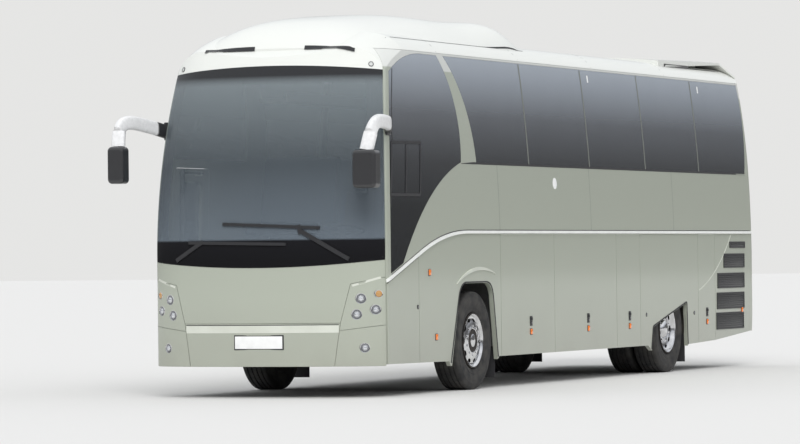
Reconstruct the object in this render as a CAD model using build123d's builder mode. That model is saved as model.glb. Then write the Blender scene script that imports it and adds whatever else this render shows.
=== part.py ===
from build123d import *
import os

os.makedirs("parts", exist_ok=True)

# A single-deck coach. X runs forward, Y to the coach's left and Z up from the road, in millimetres.
# Places along the coach are stations, measured back from the front face, and become X through st().

# Overall sizes
length = 12030            # front face to rear face
width = 2550
mirror_reach = 290        # how far the mirrors stand ahead of the front face
nose = (length - mirror_reach) / 2
tail = nose - length
sill_z = 335              # lower edge of the side panels
bay_z = 1300              # top of the luggage bays, underside of the passenger deck
waist_z = 1400            # the body is upright up to here, and curves in above
ledge_z = 1650            # the bright ledge along the side, over the flaps
belt_z = 2375             # lower edge of the side windows
quarter_top_z = 3270      # upper front corner of the quarter glass
pane_top_z = 3480         # upper edge of the side windows
eave_z = 3504             # seam between the sides and the roof
roof_z = 3730             # crown of the roof
roof_drop = 50            # the crown down to the roof's shoulder
shoulder_half = 850       # half width of the gently crowned part of the roof
haunch_half = 1008        # where the shoulder turns down to the eave
brow_line = ((200, 3310), (470, 3520), (800, 3652), (1150, 3742), (1550, 3830))
brow_flat = 740           # half width of the brow's level part
brow_droop = ((1060, -143), (1150, -290))

# Walls and gaps
wall = 45                 # body panels with their frames and lining
lining_gap = 8            # between the flaps and what stands behind them
glass = 8                 # bonded panes
seat_gap = 0.3            # between pieces that rest on each other
joint_gap = 6             # between neighbouring panels
move_gap = 8              # round doors and flaps
groove = 10               # depth of the shadow gap between fixed panels

# Plan outline of the body
front_bow = 90            # how far the front face curves back at flat_half
flat_half = 850           # half width of the gently bowed part of the front
corner_depth = 300        # where the front corner has turned into the side
corner_bulge = 860        # radius of the front corner between those
edge_round = 110          # last rounding where the corner meets the side
rear_round = 110
screen_curve = 6300       # radius of the windscreen in side view
side_curve = 14600        # radius of the body side above the waist
rear_curve = 3200         # radius of the rear face above rear_lean_z
rear_lean_z = 2900        # above this the rear face leans forward
rear_tuck = 175           # how far the rear face runs forward from the waist down to the road
corner_st = 300           # station of the seam between front and side panels
quarter_st = 410          # station of the front edge of the quarter glass
tail_seam = 110           # seam between side and rear panels, measured forward from the rear face

# The bright ledge: it climbs from the front corner to a knee, then curves level
ledge_proud = 18
ledge_h = 30
ledge_front_st = 308
ledge_front_z = 1166
ledge_knee_st = 1223
ledge_knee_z = 1457
ledge_level_st = 2453
hinge_r = 8               # bead along a flap's hinged edge

# Side panels, by their seams
flap_front_st = 1134      # service flap ahead of the front arch
service_drop = 20         # its top edge under the ledge
bay_seams = (3400, 5007, 7000, 7800)
rear_flap_sts = (9870, 10500)
window_rim = 55           # wall that shows round a window hole from inside
window_joints = (4350, 6245, 8120, 10035)

# The front, in Y and Z
screen_low_z = 1305       # windscreen, at its middle
screen_top_z = 3339
screen_bow = 85           # how far its lower and upper edges curve at the corners
header_z = 3504
plate_z = 558             # number plate
plate_w = 535
plate_h = 140
lamps = ((1052, 991, 52), (1205, 1035, 38), (1012, 833, 52), (1180, 879, 50), (1083, 500, 48))

# The rear
hatch_low_z = 520
hatch_top_z = 1370
hatch_w = 1800
hatch_axis_x = tail + 12
rear_sill_z = 430
rear_pane_zs = (2180, 3260)
rear_pane_w = 1950
rear_lamp_y = 1085
rear_lamp_r = 60
rear_lamp_zs = (1450, 1600, 1750)

# Doors on the right side
door_front_sts = (600, 1440)
door_middle_sts = (6960, 7760)
door_top_z = 2340
door_low_z = 352
step_z = 400              # lowest tread of both step wells
platform_z = 950          # floor beside the driver
deck_t = 45
door_post_st = 705        # turning post of the front door's arms
door_pin_st = 1105        # where the arms carry the front leaf
door_post_y = 1160
door_pin_y = 1140
door_arm_zs = (470, 2280)
post_r = 22
pin_r = 10
well_margin = 60          # step wells reach past their doorways

# Floors and the luggage hold
belly_z = 345
belly_t = 12
hold_sts = (3332, 7960)   # from bulkhead to bulkhead
deck_sts = (1850, 11900)
platform_st = 330
floor_half = width / 2 - wall - seat_gap
clear_half = width / 2 - wall - lining_gap
front_treads = (1222, 1040, 860, 680)
middle_treads = (1222, 1050, 880, 710, 540)
tread_t = 30

# Chassis members
rail_in_y = 400
rail_out_y = 480
rail_zs = (660, 860)
spring_r = 95

# Wheels and axles
axle_front_st = 2700
axle_rear_st = 8900
tyre_r = 515
tyre_w = 292
tyre_shoulder = 38
rim_r = 292               # bead seat of the tyre
rim_t = 16
rim_w = 270
disc_t = 44               # depth of the dished wheel disc
track_front_y = 1100      # centre of the front tyre
track_rear_y = 1086       # centre of the outer rear tyre
twin_gap = 38             # between the twin tyres
kingpin_y = 985
kingpin_r = 22
eye_r = 45
stub_r = 45
spindle_r = 60
run_gap = 0.3             # round shafts in their bores
hub_r = 140
axle_tube_r = 90
house_in_y = 540          # inner wall of the front wheel arches
house_rear_y = 560
house_top_z = 1150
plate = 8                 # sheet of wheel arches and bulkheads
house_sts = (1960, 3332)
house_rear_sts = (8160, 9500)

# Seats
seat_pitch = 770
seat_first_st = 2500
seat_w = 840
seat_y = 750


body_levels = (waist_z, 2100, rear_lean_z, 3800)
over_z = 4030             # above the whole body


def st(back):
    """X of a station."""
    return nose - back


def plan(z, inset):
    """Plan outline of the body at height z, moved in by inset all round."""
    rise = max(z - waist_z, 0)
    half = width / 2 - rise**2 / (2 * side_curve)
    front = nose - rise**2 / (2 * screen_curve)
    rear = tail + max(z - rear_lean_z, 0) ** 2 / (2 * rear_curve)
    flat = flat_half * half / (width / 2)
    turn = front - front_bow
    side = front - corner_depth
    with BuildSketch(Plane.XY.offset(z)) as outline:
        with BuildLine():
            ThreePointArc((turn, -flat), (front, 0), (turn, flat))
            RadiusArc((turn, flat), (side, half), -corner_bulge)
            Line((side, half), (rear, half))
            Line((rear, half), (rear, -half))
            Line((rear, -half), (side, -half))
            RadiusArc((side, -half), (turn, -flat), -corner_bulge)
        make_face()
        corners = outline.vertices().filter_by(lambda v: abs(abs(v.Y) - half) < 1)
        fillet(corners.filter_by(lambda v: v.X > 0), edge_round)
        fillet(outline.vertices().filter_by(lambda v: v.X < 0), rear_round)
        if inset:
            offset(amount=-inset, kind=Kind.INTERSECTION)
    return outline.sketch


eave_half = width / 2 - (eave_z - waist_z) ** 2 / (2 * side_curve)


def roof_line(inset):
    """Cross-section that trims the body to its roof, lowered by inset."""
    out = 420
    eave = eave_z - inset
    crown = roof_z - inset
    shoulder = crown - roof_drop
    haunch = (eave + shoulder) / 2 + 34
    with BuildSketch(Plane.YZ) as section:
        with BuildLine():
            Line((-eave_half - out, eave - out), (-eave_half, eave))
            ThreePointArc((-eave_half, eave), (-haunch_half, haunch), (-shoulder_half, shoulder))
            ThreePointArc((-shoulder_half, shoulder), (0, crown), (shoulder_half, shoulder))
            ThreePointArc((shoulder_half, shoulder), (haunch_half, haunch), (eave_half, eave))
            Line((eave_half, eave), (eave_half + out, eave - out))
            Line((eave_half + out, eave - out), (eave_half + out, -out))
            Line((eave_half + out, -out), (-eave_half - out, -out))
            Line((-eave_half - out, -out), (-eave_half - out, eave - out))
        make_face()
    return section.sketch


def over_brow(inset):
    """The space over the brow, which climbs backwards and droops at the front corners, lowered by inset."""
    (y_1, drop_1), (y_2, drop_2) = brow_droop
    with BuildPart() as space:
        for back, top in brow_line:
            z = top - inset
            with BuildSketch(Plane.YZ.offset(st(back))):
                with BuildLine():
                    for side in (-1, 1):
                        ThreePointArc((side * brow_flat, z), (side * (y_1 - inset), z + drop_1),
                                      (side * (y_2 - inset), z + drop_2))
                        Polyline((side * (y_2 - inset), z + drop_2), (side * width / 2, z + 2.5 * drop_2),
                                 (side * width / 2, over_z))
                    Line((-brow_flat, z), (brow_flat, z))
                    Line((-width / 2, over_z), (width / 2, over_z))
                make_face()
        loft()
    return space.part


def body(inset):
    """The whole outer form of the body, moved in by inset. It reaches below the sill."""
    with BuildPart() as form:
        add(plan(100, inset).face())
        extrude(amount=waist_z - 100)
        with BuildPart(mode=Mode.PRIVATE) as upper:
            for z in body_levels:
                add(plan(z, inset).face())
            loft()
        add(upper.part)
        extrude(roof_line(inset), amount=length, both=True, mode=Mode.INTERSECT)
        with BuildSketch(Plane.XZ) as tuck:
            with BuildLine():
                Polyline((tail - 500, waist_z), (tail + inset, waist_z), (tail + inset + rear_tuck, 0),
                         (tail - 500, 0), close=True)
            make_face()
        extrude(amount=width, both=True, mode=Mode.SUBTRACT)
        add(over_brow(inset), mode=Mode.SUBTRACT)
    return form.part


outer = body(0)
shell_10 = body(groove)
pane_back = body(glass)
behind_glass = body(glass + seat_gap)
inner = body(wall)
proud = body(-ledge_proud)


def side_prism(*outlines, start=300):
    """Prism of flat outlines, whose axes stand for X and Z, through the left side of the body."""
    with BuildPart() as prism:
        with BuildSketch(Plane.XZ.offset(-start)):
            for outline in outlines:
                add(outline)
        extrude(amount=start - width / 2 - 200)
    return prism.part


def front_prism(outline, depth=1200):
    """Prism of a flat outline, whose axes stand for Y and Z, through the front of the body."""
    with BuildPart() as prism:
        with BuildSketch(Plane.YZ.offset(nose - depth)):
            add(outline)
        extrude(amount=depth + 200)
    return prism.part


def layer(outside, inside):
    """The body's surface between two depths."""
    with BuildPart() as sheet:
        add(outside)
        add(inside, mode=Mode.SUBTRACT)
    return sheet.part


skin = layer(outer, shell_10)
core = layer(shell_10, inner)
panel = layer(outer, inner)
pane_layer = layer(outer, pane_back)
frame_layer = layer(behind_glass, inner)
ledge_layer = layer(proud, outer)


def within(sheet, *blocks):
    """What all blocks hold of a sheet."""
    with BuildPart() as piece:
        add(blocks[0])
        for block in blocks[1:]:
            add(block, mode=Mode.INTERSECT)
        add(sheet, mode=Mode.INTERSECT)
    return piece.part


def shrunk(outline, amount):
    """A flat outline moved in all round."""
    with BuildSketch() as smaller:
        add(outline)
        offset(amount=-amount)
    return smaller.sketch


def mirrored(part):
    """The same piece on the right side."""
    with BuildPart() as other:
        add(part.mirror(Plane.XZ))
    return other.part


def save(piece, name):
    """Label a finished piece and write it."""
    piece.part.label = name
    export_step(piece.part, "parts/" + name + ".step")


# Lines of the left side, drawn in X and Z

def rake(z):
    """How far the front surface has leaned back at height z."""
    return max(z - waist_z, 0) ** 2 / (2 * screen_curve)




def seam_line(back, low, high):
    """A line that follows the lean of the windscreen at a station, as points from low to high."""
    levels = [low, waist_z, (waist_z + high) / 2, high]
    return [(st(back) - rake(z), z) for z in levels]


def follow(back, low, high=over_z):
    """Draws seam_line as a straight run and an arc."""
    a, b, c, d = seam_line(back, low, high)
    Line(a, b)
    ThreePointArc(b, c, d)


def tail_seam_line(inset):
    """Draws the seam between side and rear panels from the road up; it keeps its distance from the rear face."""
    end = tail + tail_seam + inset
    lean = (over_z - rear_lean_z) ** 2 / (2 * rear_curve)
    Polyline((end + rear_tuck, 0), (end, waist_z), (end, rear_lean_z))
    ThreePointArc((end, rear_lean_z), (end + lean / 4, (over_z + rear_lean_z) / 2), (end + lean, over_z))
    return (end + rear_tuck, 0), (end + lean, over_z)


def ledge_edge(shift):
    """The ledge's line from the front corner to the tail, shifted upward."""
    front = (st(ledge_front_st), ledge_front_z + shift)
    knee = (st(ledge_knee_st), ledge_knee_z + shift)
    level = (st(ledge_level_st), ledge_z + shift)
    Line(front, knee)
    TangentArc(knee, level, tangent=(knee[0] - front[0], knee[1] - front[1]))
    Line(level, (tail - 100, ledge_z + shift))


def ledge_at(back):
    """Height of the ledge's straight front run at a station."""
    share = (back - ledge_front_st) / (ledge_knee_st - ledge_front_st)
    return ledge_front_z + share * (ledge_knee_z - ledge_front_z)


ledge_low = -ledge_h / 2


def area(*points):
    """A side area from stations and heights."""
    with BuildSketch() as sketch:
        with BuildLine():
            Polyline([(st(back), z) for back, z in points], close=True)
        make_face()
    return sketch.sketch


def side_area(inset=0):
    """The whole side between the front corner seam, the tail seam and the eave."""
    back = corner_st + inset
    with BuildSketch() as sketch:
        with BuildLine():
            follow(back, 0)
            low, high = tail_seam_line(inset)
            Line((st(back) - rake(over_z), over_z), high)
            Line((st(back), 0), low)
        make_face()
        with Locations((0, 0)):
            Rectangle(2 * length, 2 * (eave_z - inset), mode=Mode.INTERSECT)
    return sketch.sketch


def under_ledge(first, last, inset, drop):
    """The side below the ledge between two stations."""
    with BuildSketch() as sketch:
        with BuildLine():
            ledge_edge(ledge_low - drop)
            Polyline((tail - 100, ledge_z + ledge_low - drop), (tail - 100, 0), (st(ledge_front_st), 0),
                     (st(ledge_front_st), ledge_front_z + ledge_low - drop))
        make_face()
        with Locations((st((first + last) / 2), 1000)):
            Rectangle(last - first - 2 * inset, 4000, mode=Mode.INTERSECT)
    return sketch.sketch


# Edges of the sides: sills, arches and glass

sill_cut = area((-200, 0), (-200, sill_z), (1925, 318), (1967, 268), (3250, 268), (3290, 308), (3330, sill_z),
                (8050, sill_z), (8180, 274), (9458, 300), (9500, 318), (10470, 344), (11790, 426),
                (12300, 460), (12300, 0))

with BuildSketch() as arch_front:
    with BuildLine():
        Polyline([(st(b), z) for b, z in ((1985, 230), (2268, 1116), (3140, 1116), (3300, 230))], close=True)
    make_face()
    fillet(arch_front.vertices().sort_by(Axis.Y)[-2:], 190)

arch_rear = area((8172, 230), (8240, 546), (9430, 812), (9462, 230))

with BuildSketch() as main_glass:
    with BuildLine():
        ThreePointArc((st(2820), belt_z), (st(2610), 3030), (st(2190), pane_top_z))
        Line((st(2190), pane_top_z), (st(11830), pane_top_z))
        ThreePointArc((st(11830), pane_top_z), (st(11888), 2950), (st(11790), belt_z))
        Line((st(11790), belt_z), (st(2820), belt_z))
    make_face()

with BuildSketch() as quarter_glass:
    with BuildLine():
        low = ledge_at(quarter_st) + 34
        follow(quarter_st, low, quarter_top_z)
        front = seam_line(quarter_st, low, quarter_top_z)[-1]
        ThreePointArc(front, (st(1130), 3430), (st(1640), pane_top_z))
        Line((st(1640), pane_top_z), (st(2015), pane_top_z))
        ThreePointArc((st(2015), pane_top_z), (st(2340), 3030), (st(2390), belt_z))
        ThreePointArc((st(2390), belt_z), (st(1371), 1925), (st(735), ledge_at(735) + 34))
        Line((st(735), ledge_at(735) + 34), (st(quarter_st), low))
    make_face()

with BuildSketch() as over_door:
    add(quarter_glass.sketch)
    with Locations((st(1500), 1400)):
        Rectangle(3000, 2 * (belt_z - 1400), mode=Mode.SUBTRACT)

panes = []
edges = (2000, *window_joints, 12000)
for first, last in zip(edges, edges[1:]):
    with BuildSketch() as pane:
        with Locations((st((first + last) / 2), (belt_z + pane_top_z) / 2)):
            Rectangle(last - first - joint_gap, 1300)
        add(main_glass.sketch, mode=Mode.INTERSECT)
    panes.append(pane.sketch)


def wall_part(holes, glazing, windows):
    """One side wall, built on the left: two layers, so that its outer edges leave a shadow gap."""
    with BuildPart() as side:
        add(within(core, side_prism(side_area(seat_gap / 2))))
        add(within(skin, side_prism(side_area(joint_gap / 2))))
        add(side_prism(sill_cut, start=0), mode=Mode.SUBTRACT)
        add(side_prism(arch_front.sketch, arch_rear, *holes, *windows, start=0), mode=Mode.SUBTRACT)
        with Locations((st(axle_rear_st), 0, tyre_r)):
            Cylinder(tyre_r + 45, 2 * (width / 2 - 17), rotation=(90, 0, 0), mode=Mode.SUBTRACT)
        with BuildPart(mode=Mode.PRIVATE) as recess:
            add(side_prism(*glazing))
            add(behind_glass, mode=Mode.SUBTRACT)
        add(recess.part, mode=Mode.SUBTRACT)
    return side.part


window_holes = [shrunk(pane, window_rim) for pane in panes]
quarter_hole = shrunk(quarter_glass.sketch, window_rim)
over_door_hole = shrunk(over_door.sketch, window_rim)
bay_holes = [under_ledge(first, last, -move_gap / 2, 0) for first, last in zip(bay_seams, bay_seams[1:])]
service_hole = under_ledge(ledge_front_st - 50, flap_front_st + move_gap / 2, 0, service_drop - move_gap)
rear_hole = under_ledge(*rear_flap_sts, -move_gap / 2, 0)


def doorway(sts, inset):
    """Outline of a doorway between two stations."""
    with BuildSketch() as sketch:
        with Locations((st(sum(sts) / 2), (door_low_z + door_top_z) / 2)):
            RectangleRounded(sts[1] - sts[0] - 2 * inset, door_top_z - door_low_z - 2 * inset, 70)
    return sketch.sketch


with BuildPart() as side_wall_left:
    add(wall_part([*bay_holes, service_hole, rear_hole], [main_glass.sketch, quarter_glass.sketch],
                  [*window_holes, quarter_hole]))
save(side_wall_left, "side_wall_left")

right_bays = [(bay_seams[0], bay_seams[1]), (bay_seams[1], door_middle_sts[0] - 60)]
right_holes = [under_ledge(first, last, -move_gap / 2, 0) for first, last in right_bays]
doors = (door_front_sts, door_middle_sts)
with BuildPart() as side_wall_right:
    add(mirrored(wall_part([*right_holes, rear_hole, *[doorway(sts, -move_gap / 2) for sts in doors]],
                           [main_glass.sketch, over_door.sketch], [*window_holes, over_door_hole])))
save(side_wall_right, "side_wall_right")

# The side panes, bonded on rebates in the walls

def side_panes(*outlines):
    """Panes of the left side."""
    return within(pane_layer, side_prism(*[shrunk(outline, joint_gap / 2) for outline in outlines]))


main_panes = side_panes(*panes)
with BuildPart() as side_glass_left:
    add(main_panes)
    add(side_panes(quarter_glass.sketch))
save(side_glass_left, "side_glass_left")

with BuildPart() as side_glass_right:
    add(mirrored(main_panes))
    add(mirrored(side_panes(over_door.sketch)))
save(side_glass_right, "side_glass_right")

# The bright ledge: a moulding that stands proud of the sides

with BuildSketch() as ledge_band:
    with BuildLine():
        ledge_edge(ledge_low)
    with BuildLine():
        ledge_edge(-ledge_low)
    with BuildLine():
        Line((st(ledge_front_st), ledge_front_z + ledge_low), (st(ledge_front_st), ledge_front_z - ledge_low))
        Line((tail - 100, ledge_z + ledge_low), (tail - 100, ledge_z - ledge_low))
    make_face()

with BuildSketch() as ledge_left:
    add(ledge_band.sketch)
    with Locations((nose, ledge_z)):
        Rectangle(2 * (length - tail_seam), 4000, mode=Mode.INTERSECT)

with BuildSketch() as ledge_right:
    add(ledge_left.sketch)
    with Locations((tail, ledge_z)):
        Rectangle(2 * (st(door_front_sts[1] + 60) - tail), 4000, mode=Mode.INTERSECT)

with BuildPart() as ledges:
    add(mirrored(within(ledge_layer, side_prism(ledge_right.sketch))))
    add(within(ledge_layer, side_prism(ledge_left.sketch)))
save(ledges, "ledges")


# The front: bumper, corner panels, front panel and the frame round the windscreen

def ahead(back):
    """Everything ahead of the raked line at a station."""
    with BuildPart() as block:
        with BuildSketch(Plane.XZ):
            with BuildLine():
                follow(back, 0)
                Polyline((st(back) - rake(over_z), over_z), (nose + 400, over_z), (nose + 400, 0), (st(back), 0))
            make_face()
        extrude(amount=width, both=True)
    return block.part


def front_panel_part(outline, back=corner_st):
    """A fixed front panel, with a shadow gap at its outer edges."""
    with BuildPart() as piece:
        add(within(core, front_prism(shrunk(outline, seat_gap / 2)), ahead(back - seat_gap / 2)))
        add(within(skin, front_prism(shrunk(outline, joint_gap / 2)), ahead(back - joint_gap / 2)))
    return piece.part


def front_area(*points):
    """An outline in Y and Z."""
    with BuildSketch() as sketch:
        with BuildLine():
            Polyline(points, close=True)
        make_face()
    return sketch.sketch


past = width / 2 + 120    # beyond the body's side
bumper_top = (857, 747)
front_low_z = 315
bumper_low = (793, front_low_z)
lamp_low_z = 672          # lower inner corner of the headlamp panel, on the bumper's edge
lamp_low_y = bumper_low[0] + (bumper_top[0] - bumper_low[0]) * (lamp_low_z - front_low_z) / (
    bumper_top[1] - front_low_z)
lamp_low = (lamp_low_y, lamp_low_z)
lamp_seam = (past, 740)
lamp_top = (960, 1137)
lamp_brow = (past, 1228)

bumper_outline = front_area((-bumper_top[0], bumper_top[1]), bumper_top, bumper_low, (-bumper_low[0], front_low_z))
with BuildPart() as bumper:
    add(front_panel_part(bumper_outline))
    with Locations((nose, 0, plate_z)):
        Box(20, plate_w, plate_h, mode=Mode.SUBTRACT)
save(bumper, "bumper")

corner_low_outline = front_area(lamp_low, lamp_seam, (past, front_low_z), bumper_low)
corner_top_outline = front_area(lamp_low, bumper_top, lamp_top, lamp_brow, lamp_seam)
with BuildPart() as corner_panels:
    for outline in (corner_low_outline, corner_top_outline):
        add(front_panel_part(outline))
    for y, z, r in lamps:
        with Locations((nose, y, z)):
            Cylinder(r + seat_gap, 900, rotation=(0, 90, 0), mode=Mode.SUBTRACT)
    mirror(about=Plane.XZ)
save(corner_panels, "corner_panels")

with BuildPart() as headlamps:
    for y, z, r in lamps:
        with Locations((nose - 200, y, z)):
            Cylinder(r, 500, rotation=(0, 90, 0))
    add(core, mode=Mode.INTERSECT)
    add(ahead(corner_st), mode=Mode.INTERSECT)
    mirror(about=Plane.XZ)
save(headlamps, "headlamps")


def screen_curve_line(low, high):
    """The windscreen's outline, bowed along its lower and upper edges."""
    with BuildSketch() as sketch:
        with BuildLine():
            ThreePointArc((-past, low + screen_bow), (0, low), (past, low + screen_bow))
            Line((past, low + screen_bow), (past, high - screen_bow))
            ThreePointArc((past, high - screen_bow), (0, high), (-past, high - screen_bow))
            Line((-past, high - screen_bow), (-past, low + screen_bow))
        make_face()
    return sketch.sketch


screen = screen_curve_line(screen_low_z, screen_top_z)
with BuildSketch() as front_outline:
    with BuildLine():
        ThreePointArc((-past, screen_low_z + screen_bow), (0, screen_low_z), (past, screen_low_z + screen_bow))
        Polyline((past, screen_low_z + screen_bow), lamp_brow, lamp_top, bumper_top,
                 (-bumper_top[0], bumper_top[1]), (-lamp_top[0], lamp_top[1]), (-past, lamp_brow[1]),
                 (-past, screen_low_z + screen_bow))
    make_face()
with BuildPart() as front_panel:
    add(front_panel_part(front_outline.sketch))
save(front_panel, "front_panel")

above_panel = screen_curve_line(screen_low_z, eave_z + screen_bow)
with BuildPart() as brow_frame:
    add(front_panel_part(above_panel))
    with BuildPart(mode=Mode.PRIVATE) as roof_zone:
        with Locations((0, 0, header_z + 1000)):
            Box(3 * length, 2 * width, 2000)
    add(roof_zone.part, mode=Mode.SUBTRACT)
    with BuildPart(mode=Mode.PRIVATE) as screen_space:
        add(front_prism(screen))
        add(ahead(corner_st), mode=Mode.INTERSECT)
    add(screen_space.part, mode=Mode.SUBTRACT)
save(brow_frame, "brow_frame")

with BuildPart() as screen_frame:
    add(within(frame_layer, front_prism(shrunk(screen, seat_gap)), ahead(corner_st - seat_gap)))
    add(within(frame_layer, front_prism(screen_curve_line(screen_low_z + 190, screen_top_z - 75)),
               ahead(corner_st - 70)), mode=Mode.SUBTRACT)
save(screen_frame, "screen_frame")

with BuildPart() as windscreen:
    add(within(pane_layer, front_prism(shrunk(screen, joint_gap / 2)), ahead(corner_st - joint_gap / 2)))
save(windscreen, "windscreen")

# The rear wall, its window and the engine hatch

def behind():
    """Everything behind the tail seam."""
    with BuildPart() as block:
        with BuildSketch(Plane.XZ):
            with BuildLine():
                low, high = tail_seam_line(0)
                Polyline(low, (tail - 300, 0), (tail - 300, over_z), high)
            make_face()
        extrude(amount=width, both=True)
    return block.part


def rear_prism(outline, depth=900):
    """Prism of a flat outline, whose axes stand for Y and Z, through the rear of the body."""
    with BuildPart() as prism:
        with BuildSketch(Plane.YZ.offset(tail + depth)):
            add(outline)
        extrude(amount=-depth - 200)
    return prism.part


with BuildSketch() as hatch_outline:
    with Locations((0, (hatch_low_z + hatch_top_z) / 2)):
        Rectangle(hatch_w, hatch_top_z - hatch_low_z)
with BuildSketch() as rear_pane_outline:
    with Locations((0, (rear_pane_zs[0] + rear_pane_zs[1]) / 2)):
        RectangleRounded(rear_pane_w, rear_pane_zs[1] - rear_pane_zs[0], 160)

with BuildPart() as rear_wall:
    add(within(panel, behind()))
    with Locations((tail, 0, 0)):
        Box(2 * length, 2 * width, 2 * rear_sill_z, mode=Mode.SUBTRACT)
    with Locations((tail, 0, eave_z + 500)):
        Box(2 * length, 2 * width, 1000, mode=Mode.SUBTRACT)
    add(rear_prism(shrunk(hatch_outline.sketch, -move_gap)), mode=Mode.SUBTRACT)
    with BuildPart(mode=Mode.PRIVATE) as pane_recess:
        add(rear_prism(rear_pane_outline.sketch))
        add(behind_glass, mode=Mode.SUBTRACT)
    add(pane_recess.part, mode=Mode.SUBTRACT)
    add(rear_prism(shrunk(rear_pane_outline.sketch, window_rim)), mode=Mode.SUBTRACT)
    for side in (-1, 1):
        for z in rear_lamp_zs:
            with Locations((tail, side * rear_lamp_y, z)):
                Cylinder(rear_lamp_r + seat_gap, 160, rotation=(0, 90, 0), mode=Mode.SUBTRACT)
save(rear_wall, "rear_wall")

with BuildPart() as rear_window:
    add(within(pane_layer, rear_prism(shrunk(rear_pane_outline.sketch, joint_gap / 2))))
save(rear_window, "rear_window")

with BuildPart() as rear_lamps:
    for side in (-1, 1):
        for z in rear_lamp_zs:
            with Locations((tail + 200, side * rear_lamp_y, z)):
                Cylinder(rear_lamp_r, 500, rotation=(0, 90, 0))
    add(panel, mode=Mode.INTERSECT)
save(rear_lamps, "rear_lamps")

with BuildPart() as engine_hatch:
    add(within(panel, rear_prism(hatch_outline.sketch)))
    with Locations((hatch_axis_x, 0, hatch_top_z - seat_gap)):
        Cylinder(hinge_r, hatch_w, rotation=(90, 0, 0))
save(engine_hatch, "engine_hatch")

# The roof, the dome over its front half and the wing at its tail

with BuildPart() as roof:
    add(panel)
    with Locations((0, 0, eave_z - 2000 + seat_gap)):
        Box(3 * length, 2 * width, 4000, mode=Mode.SUBTRACT)
save(roof, "roof")

# The dome over the air conditioning and the front half of the roof: one lofted moulding
# Station, half width, height of its edge, height of its crown, and how squarely its sides turn up


dome_sections = ((430, 735, 3470, 3520, 3), (750, 900, 3550, 3752, 3), (1500, 980, 3600, 3890, 3),
                 (2600, 990, 3630, 3942, 4), (4230, 1000, 3630, 3932, 8), (4600, 1000, 3630, 3880, 8),
                 (4880, 980, 3620, 3700, 8))
dome_t = 30


def dome_form(inset):
    """The dome's outside, moved in by inset."""
    base = eave_z - 100
    last = len(dome_sections) - 1
    with BuildPart() as form:
        for number, (back, half, edge, crown, turn) in enumerate(dome_sections):
            end = inset if number == 0 else -inset if number == last else 0
            w = half - inset
            shares = (1, 0.94, 0.8, 0.5, 0)
            side = [(w * share, crown - inset - (crown - edge) * share**turn) for share in shares]
            with BuildSketch(Plane.YZ.offset(st(back + end))):
                with BuildLine():
                    Spline([*side, *[(-y, z) for y, z in side[-2::-1]]])
                    Polyline((-w, side[0][1]), (-w, base), (w, base), side[0])
                make_face()
        loft()
    return form.part


with BuildPart() as dome:
    add(dome_form(0))
    add(dome_form(dome_t), mode=Mode.SUBTRACT)
    add(outer, mode=Mode.SUBTRACT)
save(dome, "dome")


def wing_section(back, edge_z, thick, half):
    """Cross-section of the wing at a station: a cambered band."""
    camber = 60
    with BuildSketch(Plane.YZ.offset(st(back))) as section:
        with BuildLine():
            ThreePointArc((-half, edge_z), (0, edge_z + camber), (half, edge_z))
            Line((half, edge_z), (half, edge_z - thick))
            ThreePointArc((half, edge_z - thick), (0, edge_z + camber - thick), (-half, edge_z - thick))
            Line((-half, edge_z - thick), (-half, edge_z))
        make_face()
    return section.sketch


def between(*sections):
    """A ruled solid through cross-sections."""
    with BuildPart() as solid:
        for section in sections:
            add(section.face())
        loft(ruled=True)
    return solid.part


wing_sts = (9300, 11580, 11930)
wing_zs = (3700, 3750, 3590)
with BuildPart() as wing:
    add(between(wing_section(wing_sts[0], wing_zs[0], 75, 1000), wing_section(wing_sts[1], wing_zs[1], 25, 1000)))
    with BuildPart(mode=Mode.PRIVATE) as ribs:
        with Locations(*[(st(10800), y, roof_z) for y in (-700, 0, 700)]):
            Box(1400, 20, 400)
        add(between(wing_section(wing_sts[0], wing_zs[0] - 10, 300, 1000),
                    wing_section(wing_sts[1], wing_zs[1] - 10, 300, 1000)), mode=Mode.INTERSECT)
    add(ribs.part)
    add(between(wing_section(wing_sts[1], wing_zs[1], 25, 1000), wing_section(wing_sts[2], wing_zs[2], 25, 1090)))
    add(outer, mode=Mode.SUBTRACT)
save(wing, "wing")

# Flaps of the luggage bays and service lockers, hung from beads

flap_axis_y = width / 2 - hinge_r
flap_axis_z = ledge_z + ledge_low - seat_gap - hinge_r


def flap(first, last):
    """A flap under the level part of the ledge, hung from a bead along its upper edge."""
    with BuildPart() as piece:
        add(within(panel, side_prism(under_ledge(first, last, move_gap / 2, seat_gap + hinge_r))))
        add(side_prism(sill_cut, start=0), mode=Mode.SUBTRACT)
        with Locations((st((first + last) / 2), flap_axis_y, flap_axis_z)):
            Cylinder(hinge_r, last - first - move_gap, rotation=(0, 90, 0))
    return piece.part


for number, (first, last) in enumerate(zip(bay_seams, bay_seams[1:]), 1):
    with BuildPart() as bay_flap:
        add(flap(first, last))
    save(bay_flap, f"bay_flap_left_{number}")
for number, (first, last) in enumerate(right_bays, 1):
    with BuildPart() as bay_flap:
        add(mirrored(flap(first, last)))
    save(bay_flap, f"bay_flap_right_{number}")
rear_flap = flap(*rear_flap_sts)
with BuildPart() as rear_flap_left:
    add(rear_flap)
save(rear_flap_left, "rear_flap_left")
with BuildPart() as rear_flap_right:
    add(mirrored(rear_flap))
save(rear_flap_right, "rear_flap_right")

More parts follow.
